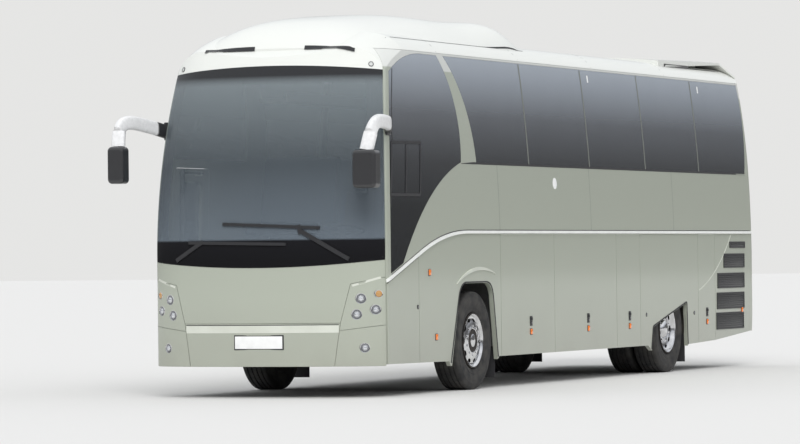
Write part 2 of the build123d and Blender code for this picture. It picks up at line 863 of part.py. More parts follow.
# The service flap ahead of the left front wheel turns on a bead along its front edge. Its bead
# stands clear of the panel edge ahead of it, and its top lies so low that it clears the climbing
# ledge when it swings out.
service_axis_st = ledge_front_st + move_gap + hinge_r
with BuildPart() as service_flap:
    add(within(panel, side_prism(under_ledge(service_axis_st - move_gap / 2, flap_front_st,
                                             move_gap / 2, service_drop))))
    add(side_prism(sill_cut, start=0), mode=Mode.SUBTRACT)
    bead_top = ledge_front_z + ledge_low - service_drop
    with Locations((st(service_axis_st), flap_axis_y, (sill_z + bead_top) / 2)):
        Cylinder(hinge_r, bead_top - sill_z)
save(service_flap, "service_flap")

# Doors: each leaf hangs on two arms that turn with a post, and stays parallel to the side


def door_glass_area(sts, inset):
    """Outline of the pane in a door leaf."""
    with BuildSketch() as sketch:
        with Locations((st(sum(sts) / 2), (door_low_z + door_top_z) / 2 + 60)):
            RectangleRounded(sts[1] - sts[0] - 220 - 2 * inset, door_top_z - door_low_z - 330 - 2 * inset, 60)
    return sketch.sketch


def door_leaf(sts, pin_x):
    """A door leaf on the right side with the two eyes that its arms carry."""
    with BuildPart() as leaf:
        add(within(panel, side_prism(doorway(sts, move_gap / 2))))
        add(within(pane_recess_layer, side_prism(door_glass_area(sts, 0))), mode=Mode.SUBTRACT)
        add(side_prism(door_glass_area(sts, 40)), mode=Mode.SUBTRACT)
        mirror(about=Plane.XZ, mode=Mode.REPLACE)
        for z in door_arm_zs:
            with BuildPart(mode=Mode.PRIVATE) as bracket:
                with Locations((pin_x, -door_pin_y - 50, z - 10)):
                    Box(40, 110, 20)
                with Locations((pin_x, -door_pin_y, z - 10)):
                    Cylinder(24, 20)
                with Locations((pin_x, -door_pin_y, z)):
                    Cylinder(pin_r + run_gap, 100, mode=Mode.SUBTRACT)
            add(bracket.part)
    return leaf.part


def door_arms(post_x, pin_x):
    """The post with its two arms and their pins."""
    low = step_z + seat_gap
    high = door_top_z - 10
    reach = pin_x - post_x
    with BuildPart() as arms:
        with Locations((post_x, -door_post_y, (low + high) / 2)):
            Cylinder(post_r, high - low)
        for z in door_arm_zs:
            with BuildSketch(Plane.XY.offset(z + seat_gap)):
                with Locations((post_x, -door_post_y)):
                    Circle(post_r + 12)
                with Locations((pin_x, -door_pin_y)):
                    Circle(24)
                with BuildLine():
                    Polyline((post_x, -door_post_y - 15), (post_x, -door_post_y + 15), (post_x + reach, -door_pin_y + 15),
                             (post_x + reach, -door_pin_y - 15), close=True)
                make_face()
            extrude(amount=16)
            with Locations((pin_x, -door_pin_y, z - 2)):
                Cylinder(pin_r, 36)
    return arms.part


pane_recess_layer = layer(outer, behind_glass)
middle_post_st = door_middle_sts[1] - (door_post_st - door_front_sts[0])
middle_pin_st = middle_post_st - (door_pin_st - door_post_st)
for name, sts, post_st, pin_st in (("front", door_front_sts, door_post_st, door_pin_st),
                                   ("middle", door_middle_sts, middle_post_st, middle_pin_st)):
    with BuildPart() as leaf:
        add(door_leaf(sts, st(pin_st)))
    save(leaf, "door_" + name)
    with BuildPart() as arms:
        add(door_arms(st(post_st), st(pin_st)))
    save(arms, "door_arms_" + name)
    with BuildPart() as door_glass:
        add(mirrored(within(pane_layer, side_prism(door_glass_area(sts, joint_gap / 2)))))
    save(door_glass, "door_glass_" + name)

# Floors: the passenger deck, the driver's platform and both step wells


def block(sts, ys, zs):
    """A box between two stations, two Y and two Z."""
    with BuildPart() as box:
        with Locations((st(sum(sts) / 2), sum(ys) / 2, sum(zs) / 2)):
            Box(abs(sts[1] - sts[0]), abs(ys[1] - ys[0]), abs(zs[1] - zs[0]))
    return box.part


def stairs(treads, top, sts):
    """Steps that climb inward from the right side, as one folded band."""
    rise = (top - step_z) / (len(treads) - 1)
    line = []
    for number, (out, end) in enumerate(zip(treads, treads[1:])):
        z = step_z + number * rise
        line += [(-out, z), (-end, z)]
    line.append((-treads[-1], top))
    back = [(y + tread_t, z - tread_t) for y, z in line]
    back[0] = (line[0][0], back[0][1])
    back[-1] = (back[-1][0], top)
    with BuildPart() as band:
        with BuildSketch(Plane.YZ.offset(st(sts[1]))):
            with BuildLine():
                Polyline(line + back[::-1], close=True)
            make_face()
        extrude(amount=sts[1] - sts[0])
    return band.part


front_well = (door_front_sts[0] - well_margin, door_front_sts[1] + well_margin)
middle_well = (door_middle_sts[0] - well_margin, door_middle_sts[1] + well_margin)
with BuildPart() as cabin_floor:
    add(block(deck_sts, (-floor_half, floor_half), (bay_z, bay_z + deck_t)))
    for side in (-1, 1):
        add(block((bay_seams[0] - 20, bay_seams[-1] + 20), (side * clear_half, side * width), (bay_z - 10, bay_z + 80)),
            mode=Mode.SUBTRACT)
        add(block((rear_flap_sts[0] - 20, rear_flap_sts[1] + 20), (side * clear_half, side * width),
                  (bay_z - 10, bay_z + 80)), mode=Mode.SUBTRACT)
        for sts in ((bay_seams[0] - 20, middle_well[0] if side < 0 else bay_seams[-1] + 20), rear_flap_sts):
            add(block(sts, (side * clear_half, side * (clear_half - 10)), (bay_z, ledge_z - 20)))
    add(block(middle_well, (-width, -middle_treads[-1]), (bay_z - 10, bay_z + 80)), mode=Mode.SUBTRACT)
    add(block((platform_st, deck_sts[0] + 30), (-floor_half + 30, floor_half - 30), (platform_z - deck_t, platform_z)))
    add(block((deck_sts[0], deck_sts[0] + 30), (-floor_half + 30, floor_half - 30), (platform_z - deck_t, bay_z + deck_t)))
    add(block((deck_sts[0] - 250, deck_sts[0]), (-300, 300), (platform_z, (platform_z + bay_z + deck_t) / 2)))
    add(block(front_well, (-width, -front_treads[-1]), (platform_z - deck_t - 1, platform_z + 1)), mode=Mode.SUBTRACT)
    add(stairs(front_treads, platform_z, front_well))
    add(stairs(middle_treads, bay_z + deck_t, middle_well))
    for back, treads, top in ((front_well[0] - plate, front_treads, platform_z), (front_well[1], front_treads, platform_z),
                              (middle_well[0] - plate, middle_treads, bay_z + deck_t),
                              (middle_well[1], middle_treads, bay_z + deck_t)):
        add(block((back, back + plate), (-treads[0], -treads[-1] + tread_t), (step_z - tread_t, top)))
save(cabin_floor, "cabin_floor")

# The luggage hold and the wheel arches, folded from sheet

with BuildPart() as hold:
    add(block(hold_sts, (-clear_half, clear_half), (belly_z, belly_z + belly_t)))
    for back in (hold_sts[0], hold_sts[1] - plate):
        add(block((back, back + plate), (-floor_half, floor_half), (belly_z, bay_z - seat_gap)))
save(hold, "luggage_hold")

with BuildPart() as wheel_arches:
    for side in (-1, 1):
        out = side * floor_half
        first, last = house_sts
        add(block((first, last - seat_gap), (side * house_in_y, side * (house_in_y + plate)), (rail_zs[1], bay_z - seat_gap)))
        add(block((first, first + plate), (side * house_in_y, out), (belly_z, bay_z - seat_gap)))
        add(block((first, last - seat_gap), (side * house_in_y, out), (house_top_z, house_top_z + plate)))
        first, last = house_rear_sts
        add(block((first, last), (side * house_rear_y, side * (house_rear_y + plate)), (rail_zs[1], bay_z - seat_gap)))
        for back in (first, last):
            add(block((back, back + plate), (side * house_rear_y, out), (belly_z + 55, bay_z - seat_gap)))
        add(block((first, last), (side * house_rear_y, out), (house_top_z, house_top_z + plate)))
save(wheel_arches, "wheel_arches")

with BuildPart() as mud_flaps:
    for side in (-1, 1):
        add(block((hold_sts[0] - seat_gap - 6, hold_sts[0] - seat_gap), (side * 930, side * clear_half), (110, 440)))
        add(block((house_rear_sts[1] - seat_gap - 6, house_rear_sts[1] - seat_gap), (side * 600, side * clear_half),
                  (110, 440)))
save(mud_flaps, "mud_flaps")

# Chassis rails with cross-members and towing eyes

tow_y = 300
jack_st = 8130            # jacking pads under the rails, ahead of the rear axle
tow_z = 700
tow_r = 22
cradle_sts = (10700, 11500)
with BuildPart() as underframe:
    add(block((-20, 210), (-rail_out_y, rail_out_y), (rail_zs[0], tow_z + 40)))
    add(inner, mode=Mode.INTERSECT)
    for side in (-1, 1):
        ys = (side * rail_in_y, side * rail_out_y)
        add(block((150, hold_sts[0] - seat_gap), ys, rail_zs))
        add(block((hold_sts[1] + seat_gap, 11700), ys, rail_zs))
        for back in (2900, 8100, 9700, 10550):
            add(block((back, back + 80), ys, (rail_zs[1], bay_z - seat_gap)))
        for back in cradle_sts:
            add(block((back, back + 80), ys, (560, rail_zs[0])))
        add(block((jack_st - 40, jack_st + 40), ys, (rail_zs[0] - 20, rail_zs[0])))
    for back in (700, 1650):
        add(block((back, back + 80), (-rail_out_y - 60, rail_out_y + 60), (rail_zs[1], platform_z - deck_t - seat_gap)))
    for back in cradle_sts:
        add(block((back, back + 80), (-rail_out_y, rail_out_y), (560, 620)))
    add(block((11700, 11780), (-rail_out_y, rail_out_y), (rail_zs[0], tow_z + 40)))
    with Locations((st(140), tow_y, tow_z), (st(11740), tow_y, tow_z)):
        Cylinder(tow_r, 400, mode=Mode.SUBTRACT)
save(underframe, "underframe")

# Axles, steering knuckles and wheels

beam_zs = (455, 575)
spring_y = rail_out_y - 50
with BuildPart() as front_beam:
    add(block((axle_front_st - 60, axle_front_st + 60), (-kingpin_y + 70, kingpin_y - 70), beam_zs))
    for side in (-1, 1):
        add(block((axle_front_st - 35, axle_front_st + 35), (side * (kingpin_y - 90), side * (kingpin_y - 10)),
                  (tyre_r - 45, tyre_r + 45)))
        with Locations((st(axle_front_st), side * kingpin_y, tyre_r)):
            Cylinder(eye_r, 90)
        with Locations((st(axle_front_st), side * kingpin_y, tyre_r)):
            Cylinder(kingpin_r + run_gap, 200, mode=Mode.SUBTRACT)
        with Locations((st(axle_front_st), side * spring_y, (beam_zs[1] + rail_zs[0] - seat_gap) / 2)):
            Cylinder(spring_r, rail_zs[0] - seat_gap - beam_zs[1])
save(front_beam, "front_beam")

for name, side in (("left", 1), ("right", -1)):
    with BuildPart() as knuckle:
        with Locations((st(axle_front_st), side * kingpin_y, tyre_r)):
            Cylinder(kingpin_r, 170)
        for z in (-65 - seat_gap, 65 + seat_gap):
            with Locations((st(axle_front_st), side * kingpin_y, tyre_r + z)):
                Cylinder(eye_r, 40)
            with Locations((st(axle_front_st), side * (kingpin_y + 35), tyre_r + z)):
                Box(70, 70, 40)
        with Locations((st(axle_front_st), side * (kingpin_y + 64), tyre_r)):
            Box(110, 20, 170)
        with Locations((st(axle_front_st), side * (kingpin_y + 125), tyre_r)):
            Cylinder(stub_r, 140, rotation=(90, 0, 0))
    save(knuckle, "knuckle_" + name)

with BuildPart() as rear_axle:
    with Locations((st(axle_rear_st), 0, tyre_r)):
        Cylinder(axle_tube_r, 2 * 868, rotation=(90, 0, 0))
        Cylinder(spindle_r, 2 * 1090, rotation=(90, 0, 0))
        Cylinder(210, 260, rotation=(90, 0, 0))
    for side in (-1, 1):
        add(block((axle_rear_st - 75, axle_rear_st + 75), (side * 340, side * 520), (tyre_r, rail_zs[0] - seat_gap)))
save(rear_axle, "rear_axle")


def tyre(y):
    """A tyre round an axle at X zero, centred at y."""
    with BuildPart() as ring:
        with BuildSketch(Plane.XY):
            with Locations(((rim_r + run_gap + tyre_r) / 2, y)):
                Rectangle(tyre_r - rim_r - run_gap, tyre_w)
        revolve(axis=Axis.Y)
        rims = ring.edges().filter_by(GeomType.CIRCLE).filter_by(lambda e: abs(e.radius - tyre_r) < 1)
        fillet(rims, tyre_shoulder)
    return ring.part


def rim(y, disc_y, bore):
    """A wheel's rim and disc, round an axle at X zero."""
    with BuildPart() as ring:
        with BuildSketch(Plane.XY):
            with Locations((rim_r - rim_t / 2, y)):
                Rectangle(rim_t, rim_w)
            with Locations(((bore + rim_r) / 2, disc_y)):
                Rectangle(rim_r - bore - 2, disc_t)
        revolve(axis=Axis.Y)
    return ring.part


twin_mid_y = track_rear_y - (tyre_w + twin_gap) / 2


def hub(ys, bore):
    """A hub round an axle at X zero, closed by a cap at its outer end."""
    with BuildPart() as drum:
        with BuildSketch(Plane.XY):
            with Locations(((bore + hub_r) / 2, sum(ys) / 2)):
                Rectangle(hub_r - bore, ys[1] - ys[0])
            with Locations((hub_r / 2 - 10, ys[1] + 12)):
                Rectangle(hub_r - 20, 24)
        revolve(axis=Axis.Y)
    return drum.part


for name, side in (("left", 1), ("right", -1)):
    for end, back, ys, disc_ys, hub_ys, bore in (
            ("front", axle_front_st, (track_front_y,), (track_front_y + 40,), (1080, 1205), stub_r + run_gap),
            ("rear", axle_rear_st, (track_rear_y, track_rear_y - tyre_w - twin_gap),
             (twin_mid_y + disc_t / 2, twin_mid_y - disc_t / 2),
             (885, 1100), spindle_r + run_gap)):
        with BuildPart() as tyres:
            with Locations((st(back), 0, tyre_r)):
                for y in ys:
                    add(tyre(side * y))
        save(tyres, f"tyre_{end}_{name}")
        with BuildPart() as wheel:
            with Locations((st(back), 0, tyre_r)):
                for y, disc_y in zip(ys, disc_ys):
                    add(rim(side * y, side * disc_y, bore))
                add(hub(hub_ys, bore) if side > 0 else mirrored(hub(hub_ys, bore)))
        save(wheel, f"wheel_{end}_{name}")

# The engine behind the rear axle, as one block

with BuildPart() as engine:
    add(block((10620, 11640), (-rail_in_y + 15, rail_in_y - 15), (620 + seat_gap, 1230)))
    chamfer(engine.edges().filter_by(Axis.X).sort_by(Axis.Z)[-2:], 120)
save(engine, "engine")

# Seats: a cushion and a leaning back on a pedestal


def seat(wide):
    """A seat whose cushion starts at X zero and whose floor is at Z zero."""
    with BuildPart() as piece:
        with BuildSketch(Plane.XZ.offset(-wide / 2)):
            with BuildLine():
                Polyline((0, 300), (0, 430), (-370, 400), (-520, 1130), (-620, 1120), (-490, 300), close=True)
            make_face()
        extrude(amount=wide)
        fillet(piece.edges().filter_by(Axis.Y), 35)
        with Locations((-230, 0, 150)):
            Box(160, wide / 2, 300)
    return piece.part


double_seat = seat(seat_w)
rows = [seat_first_st + number * seat_pitch for number in range(12)]
right_rows = [row for row in rows if row + 620 - 250 < middle_well[0] or row - 260 > middle_well[1] + 60]
with BuildPart() as seats:
    with Locations(*[(st(row - 250), seat_y, bay_z + deck_t + seat_gap) for row in rows],
                   *[(st(row - 250), -seat_y, bay_z + deck_t + seat_gap) for row in right_rows]):
        add(double_seat)
save(seats, "seats")

with BuildPart() as driver_seat:
    with Locations((st(1000), 570, platform_z + seat_gap)):
        add(seat(500))
save(driver_seat, "driver_seat")

# The driver's place

with BuildPart() as dashboard:
    with BuildSketch(Plane.XZ.offset(-1150)):
        with BuildLine():
            Polyline((st(400), platform_z + seat_gap), (st(560), platform_z + seat_gap), (st(600), 1250), (st(520), 1540),
                     (st(20), 1500), (st(20), 1250), (st(300), 1180), close=True)
        make_face()
    extrude(amount=1150 + 560)
    add(inner, mode=Mode.INTERSECT)
save(dashboard, "dashboard")

wheel_plane = Plane(origin=(st(820), 570, 1690), x_dir=(1, 0, 0.22), z_dir=(-0.22, 0, 1))
with BuildPart() as steering_wheel:
    with BuildPart(wheel_plane):
        Torus(220, 14)
        Cylinder(45, 40)
        for turn in (0, 120, 240):
            with Locations(Rotation(0, 0, turn + 90)):
                with Locations((112, 0, 0)):
                    Box(210, 26, 14)
    with BuildSketch(Plane.XY.offset(platform_z + seat_gap)):
        with Locations((st(650), 570)):
            Circle(40)
    with BuildSketch(wheel_plane.offset(-20)):
        Circle(34)
    loft()
save(steering_wheel, "steering_wheel")

# Mirrors on curved arms, and the wipers

mirror_root_z = 2710
mirror_root = (st(523), 1185, mirror_root_z)      # inside the skin, which trims the arm
mirror_x = nose + 200
head_left = (1285, 2270, 250, 380)
head_right = (1440, 2357, 180, 375)


with BuildPart() as pad_block:
    with Locations((st(490), 1200, mirror_root_z)):
        Box(100, 240, 180)


def mirror_arm(points):
    """A moulded arm of oval section, from a pad on the windscreen post down to a mirror head."""
    with BuildPart() as arm:
        with BuildLine():
            Spline([mirror_root, *points], tangents=((1, 1, 0), (0, 0, -1)))
        with BuildSketch(Plane(origin=mirror_root, x_dir=(0, 0, 1), z_dir=(1, 1, 0))):
            Ellipse(62, 32)
        sweep()
        add(outer, mode=Mode.SUBTRACT)
        add(within(ledge_layer, pad_block.part))
    return arm.part


with BuildPart() as mirror_arms:
    y, z, wide, high = head_left
    top = z + high / 2 + seat_gap
    add(mirror_arm([(st(250), 1300, mirror_root_z + 30), (nose + 60, 1325, mirror_root_z + 20),
                    (mirror_x - 12, 1300, z + high / 2 + 130), (mirror_x, y, top)]))
    y, z, wide, high = head_right
    top = z + high / 2 + seat_gap
    add(mirrored(mirror_arm([(st(250), 1320, mirror_root_z + 50), (nose + 60, 1420, mirror_root_z + 90),
                             (mirror_x - 12, y + 10, z + high / 2 + 150), (mirror_x, y, top)])))
save(mirror_arms, "mirror_arms")

with BuildPart() as mirror_heads:
    for side, (y, z, wide, high) in ((1, head_left), (-1, head_right)):
        with BuildPart(mode=Mode.PRIVATE) as head:
            with Locations((nose + mirror_reach - 70, side * y, z)):
                Box(140, wide, high)
            fillet(head.edges().filter_by(Axis.X), 45)
            fillet(head.faces().sort_by(Axis.X)[-1].edges(), 35)
        add(head.part)
save(mirror_heads, "mirror_heads")


def bar(start, end, wide):
    """A flat bar between two points of the front, seen from ahead."""
    (y0, z0), (y1, z1) = start, end
    run = ((y1 - y0) ** 2 + (z1 - z0) ** 2) ** 0.5
    dy = (z1 - z0) / run * wide / 2
    dz = (y1 - y0) / run * wide / 2
    return front_area((y0 - dy, z0 + dz), (y1 - dy, z1 + dz), (y1 + dy, z1 - dz), (y0 + dy, z0 - dz))


with BuildPart() as wipers:
    for bars in (((950, 1385), (467, 1670), 40), ((-390, 1750), (660, 1700), 30)), \
            (((-950, 1385), (-627, 1573), 40), ((-795, 1565), (310, 1540), 30)):
        with BuildSketch() as flat:
            for start, end, wide in bars:
                add(bar(start, end, wide))
            if bars[0][0][0] > 0:
                add(bar((467, 1640), (440, 1730), 40))
        add(within(ledge_layer, front_prism(flat.sketch)))
save(wipers, "wipers")
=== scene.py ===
import bpy
import bmesh
import math
from mathutils import Matrix, Vector


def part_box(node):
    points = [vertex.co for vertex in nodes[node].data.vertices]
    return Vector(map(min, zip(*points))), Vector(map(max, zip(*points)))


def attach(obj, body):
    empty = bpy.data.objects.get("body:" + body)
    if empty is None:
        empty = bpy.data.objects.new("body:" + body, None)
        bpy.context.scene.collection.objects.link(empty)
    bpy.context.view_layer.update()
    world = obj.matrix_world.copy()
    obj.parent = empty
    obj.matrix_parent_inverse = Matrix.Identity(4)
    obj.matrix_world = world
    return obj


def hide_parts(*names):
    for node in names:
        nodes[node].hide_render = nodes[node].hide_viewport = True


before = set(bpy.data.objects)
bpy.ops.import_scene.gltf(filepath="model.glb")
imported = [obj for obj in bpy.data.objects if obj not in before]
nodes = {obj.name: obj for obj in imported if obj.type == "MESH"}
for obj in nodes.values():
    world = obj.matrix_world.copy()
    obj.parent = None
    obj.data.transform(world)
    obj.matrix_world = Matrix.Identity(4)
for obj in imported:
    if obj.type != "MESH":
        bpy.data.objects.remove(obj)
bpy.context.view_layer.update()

# The camera: a long lens some forty metres off the coach's left front corner, at eye height.
# Its place, direction and slight roll were worked out from the coach's own edges.

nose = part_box("bumper")[1].x
eye = Vector((nose + 39.218, 18.040, 1.407))
ahead = Vector((-0.92181, -0.38757, 0.00792)).normalized()
roll = -0.012
camera_data = bpy.data.cameras.new("camera")
camera_data.lens = 193.98
camera_data.sensor_width = 36
camera_data.clip_end = 600
camera = bpy.data.objects.new("camera", camera_data)
bpy.context.collection.objects.link(camera)
bpy.context.scene.camera = camera
flat_right = ahead.cross(Vector((0, 0, 1))).normalized()
flat_up = flat_right.cross(ahead)
right = flat_right * math.cos(roll) + flat_up * math.sin(roll)
up = flat_up * math.cos(roll) - flat_right * math.sin(roll)
camera.matrix_world = Matrix.Translation(eye) @ Matrix((right, up, -ahead)).transposed().to_4x4()

# The floor: a plain pale studio floor, matt and very slightly rough.
# It isn't part of the coach, so it rides on no body.

BODY = "coach_body"


def link(name, data, body=BODY):
    """Puts a new object in the scene, riding on a body."""
    obj = bpy.data.objects.new(name, data)
    bpy.context.collection.objects.link(obj)
    if body:
        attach(obj, body)
    return obj


def mesh_piece(name, verts, faces, mat, body=BODY):
    """A mesh object from points and faces, given in the coach's frame."""
    data = bpy.data.meshes.new(name)
    data.from_pydata([tuple(v) for v in verts], [], faces)
    data.materials.append(mat)
    return link(name, data, body)


def material(name, colour, rough=0.5, metal=0.0):
    """A principled material with its values on its own sockets."""
    mat = bpy.data.materials.new(name)
    mat.use_nodes = True
    shader = mat.node_tree.nodes["Principled BSDF"]
    shader.inputs["Base Color"].default_value = (*colour, 1)
    shader.inputs["Roughness"].default_value = rough
    shader.inputs["Metallic"].default_value = metal
    return mat, shader


def node(mat, kind, **values):
    """A shader node with its input values."""
    made = mat.node_tree.nodes.new(kind)
    for key, value in values.items():
        made.inputs[key.replace("_", " ")].default_value = value
    return made


def wire(mat, a, b):
    """Joins one node's output to another's input."""
    mat.node_tree.links.new(a, b)


def noise_level(mat, scale, detail):
    """A noise in the surface's own place, as a level from 0 to 1."""
    place = node(mat, "ShaderNodeTexCoord")
    noise = node(mat, "ShaderNodeTexNoise", Scale=scale, Detail=detail)
    wire(mat, place.outputs["Object"], noise.inputs["Vector"])
    return noise.outputs["Fac"]


def bumped(mat, shader, scale, depth, detail=3.0):
    """A fine noise in the surface, depth in metres."""
    bump = node(mat, "ShaderNodeBump", Strength=1.0, Distance=depth)
    wire(mat, noise_level(mat, scale, detail), bump.inputs["Height"])
    wire(mat, bump.outputs["Normal"], shader.inputs["Normal"])


floor_mat, floor_shader = material("floor", (0.72, 0.71, 0.69), 0.85)
bumped(floor_mat, floor_shader, 60, 0.0015)
reach = 220
floor = mesh_piece("floor", [(-reach, -reach, 0), (reach, -reach, 0), (reach, reach, 0), (-reach, reach, 0)],
                   [(0, 1, 2, 3)], floor_mat, body=None)

# The light: an overcast sky that is dim near the horizon, as it is between trees, and a broad, soft sun.
# The camera itself sees a plain pale backdrop, and the sun's disc doesn't mirror in the glass.

sky_stops = ((0.44, (0.30, 0.30, 0.29)),
             (0.50, (0.10, 0.10, 0.10)),
             (0.545, (0.16, 0.16, 0.165)),
             (0.60, (0.62, 0.65, 0.70)),
             (0.72, (0.95, 0.97, 1.0)))
backdrop = (0.83, 0.83, 0.82, 1)
sun_from = Vector((0.72, 0.36, 0.60))


def graded(mat, level, stops, socket):
    """A colour or value that changes along a 0 to 1 level; stops are (place, colour)."""
    ramp = node(mat, "ShaderNodeValToRGB")
    steps = ramp.color_ramp.elements
    for step, (position, colour) in zip(steps, (stops[0], stops[-1])):
        step.position = position
        step.color = (*colour, 1)
    for position, colour in stops[1:-1]:
        steps.new(position).color = (*colour, 1)
    wire(mat, level, ramp.inputs["Fac"])
    wire(mat, ramp.outputs["Color"], socket)


world = bpy.data.worlds.new("studio")
bpy.context.scene.world = world
world.use_nodes = True
background = world.node_tree.nodes["Background"]
background.inputs["Strength"].default_value = 0.95
sky_place = node(world, "ShaderNodeTexCoord")
sky_split = node(world, "ShaderNodeSeparateXYZ")
sky_level = node(world, "ShaderNodeMath")
sky_level.operation = "MULTIPLY_ADD"
sky_level.inputs[1].default_value = 0.5
sky_level.inputs[2].default_value = 0.5
sky_path = node(world, "ShaderNodeLightPath")
sky_choice = node(world, "ShaderNodeMix")
sky_choice.data_type = "RGBA"
sky_choice.inputs["B"].default_value = backdrop
wire(world, sky_place.outputs["Generated"], sky_split.inputs["Vector"])
wire(world, sky_split.outputs["Z"], sky_level.inputs[0])
graded(world, sky_level.outputs[0], sky_stops, sky_choice.inputs["A"])
wire(world, sky_path.outputs["Is Camera Ray"], sky_choice.inputs["Factor"])
wire(world, sky_choice.outputs["Result"], background.inputs["Color"])

sun_data = bpy.data.lights.new("sun", "SUN")
sun_data.energy = 1.8
sun_data.angle = 0.5
sun = bpy.data.objects.new("sun", sun_data)
bpy.context.collection.objects.link(sun)
sun.visible_glossy = False
sun.rotation_mode = "QUATERNION"
sun.rotation_quaternion = sun_from.to_track_quat("Z", "Y")
bpy.context.scene.view_settings.view_transform = "Standard"

# The painted body: steel and plastic panels, bonded and bolted to the frame, in a pale grey-green lacquer.
# Fine flakes lie under a clear coat, with slow waves in the large panels and road dust towards the sills.
# The lacquer ends in the roof's white just above the windows.

sage = (0.465, 0.495, 0.415)
gelcoat = (0.74, 0.75, 0.71)
road_dust = (0.30, 0.28, 0.24)
white_z = 3.31            # the lacquer turns white here


def ranged(mat, level, low, high, bottom=0.0, top=1.0):
    """A level that goes from bottom to top as another goes from low to high."""
    made = node(mat, "ShaderNodeMapRange", From_Min=low, From_Max=high, To_Min=bottom, To_Max=top)
    wire(mat, level, made.inputs["Value"])
    return made.outputs["Result"]


def axis_place(mat, axis):
    """The place along an axis of the coach's frame."""
    place = node(mat, "ShaderNodeTexCoord")
    split = node(mat, "ShaderNodeSeparateXYZ")
    wire(mat, place.outputs["Object"], split.inputs["Vector"])
    return split.outputs[axis]


def mixed(mat, factor, one, other, blend="MIX"):
    """Two colours mixed; each of the three is a value or another node's output."""
    made = node(mat, "ShaderNodeMix")
    made.data_type = "RGBA"
    made.blend_type = blend
    for key, source in (("Factor", factor), ("A", one), ("B", other)):
        if isinstance(source, bpy.types.NodeSocket):
            wire(mat, source, made.inputs[key])
        else:
            made.inputs[key].default_value = source
    return made.outputs["Result"]


def dusty(mat, shader, colour, dust=road_dust, dust_top=1.0, upper=None):
    """A lacquer with flakes and slow waves, dust that thickens towards the road, and another colour above."""
    fleck = ranged(mat, noise_level(mat, 900, 2), 0.35, 0.65, 0.94, 1.05)
    base = mixed(mat, 1.0, (*colour, 1), fleck, "MULTIPLY")
    patch = node(mat, "ShaderNodeMath")
    patch.operation = "MULTIPLY"
    wire(mat, ranged(mat, axis_place(mat, "Z"), dust_top, 0.25, 0.0, 0.55), patch.inputs[0])
    wire(mat, noise_level(mat, 1.7, 5), patch.inputs[1])
    soiled = mixed(mat, patch.outputs[0], base, (*dust, 1))
    edge = ranged(mat, axis_place(mat, "Z"), white_z, white_z + 0.012)
    wire(mat, mixed(mat, edge, soiled, (*(upper or colour), 1)), shader.inputs["Base Color"])
    bumped(mat, shader, 1.1, 0.006, 1.5)


def dress(mat, *names):
    """CAD nodes take a material."""
    for name in names:
        data = nodes[name].data
        data.materials.clear()
        data.materials.append(mat)


paint, paint_shader = material("sage_paint", sage, 0.34, 0.30)
paint_shader.inputs["Coat Weight"].default_value = 0.55
paint_shader.inputs["Coat Roughness"].default_value = 0.06
dusty(paint, paint_shader, sage, upper=gelcoat)
dress(paint, "side_wall_left", "side_wall_right", "bumper", "corner_panels", "front_panel", "rear_wall",
      "engine_hatch", "bay_flap_left_1", "bay_flap_left_2", "bay_flap_left_3", "bay_flap_right_1",
      "bay_flap_right_2", "rear_flap_left", "rear_flap_right", "service_flap", "door_front", "door_middle")

# The roof, brow, dome and wing: glass-fibre mouldings in white gelcoat, glued to the roof frame.
# They are slightly chalky, and hardly dusty this high above the road.

white, white_shader = material("white_gelcoat", gelcoat, 0.38)
white_shader.inputs["Coat Weight"].default_value = 0.3
dusty(white, white_shader, gelcoat, dust=(0.5, 0.49, 0.46), dust_top=0.4)
dress(white, "roof", "dome", "wing", "brow_frame")

# Joints of the upper side panels: the panels are glued to the frame side by side.
# Each joint between them is shallow and filled with a grey sealer.

sides = (("left", 1), ("right", -1))
flank = 1.3               # just outside the sides, where strips are laid on from
panel_joints = (3.400, 6.200, 9.010)
panel_low_z = 1.672
panel_high_z = 2.362


def st(back):
    """X of a station, measured back from the front face."""
    return nose - back


def cast(names, point, way):
    """Where a ray from point first meets one of these CAD nodes: place and outward normal."""
    start = Vector(point)
    way = Vector(way).normalized()
    best = None
    for name in names:
        hit, place, normal, _ = nodes[name].ray_cast(start, way)
        if hit and (best is None or (place - start).length < (best[0] - start).length):
            best = (place, normal)
    place, normal = best
    return place, normal if normal.dot(way) < 0 else -normal


def ribbon(name, names, points, wide, lift, mat, way):
    """A strip along points, laid on CAD nodes seen along way; wide is across the strip."""
    verts = []
    way = Vector(way)
    for i, point in enumerate(points):
        along = points[min(i + 1, len(points) - 1)] - points[max(i - 1, 0)]
        across = along.cross(way).normalized() * wide / 2
        for shift in (-across, across):
            spot, normal = cast(names, point + shift - way * 0.6, way)
            verts.append(spot + normal * lift)
    faces = [(2 * i, 2 * i + 1, 2 * i + 3, 2 * i + 2) for i in range(len(points) - 1)]
    return mesh_piece(name, verts, faces, mat)


def line(a, b, steps):
    """Points from a to b."""
    a, b = Vector(a), Vector(b)
    return [a.lerp(b, i / (steps - 1)) for i in range(steps)]


joint_grey, joint_shader = material("joint_sealer", (0.16, 0.17, 0.15), 0.6)
bumped(joint_grey, joint_shader, 500, 0.0002)
for word, side in sides:
    for number, back in enumerate(panel_joints):
        points = line((st(back), side * flank, panel_low_z), (st(back), side * flank, panel_high_z), 6)
        ribbon(f"panel_joint_{number}_{word}", ["side_wall_" + word], points, 0.006, 0.0008, joint_grey,
               (0, -side, 0))

# The ledge: an extruded rail, screwed along the side over the flaps, that climbs from the front corner; it is
# painted near white, a painted highlight where its bevelled top mirrors the sky.
# A black shadow joint runs above it and seals the upper panels; the doors on the right break it.

ledge_start = Vector((st(0.308), flank, 1.166))
ledge_knee = Vector((st(1.223), flank, 1.457))
ledge_level = Vector((st(2.453), flank, 1.650))
ledge_end = Vector((st(11.88), flank, 1.650))
joint_over = 0.020        # the joint above the rail's middle


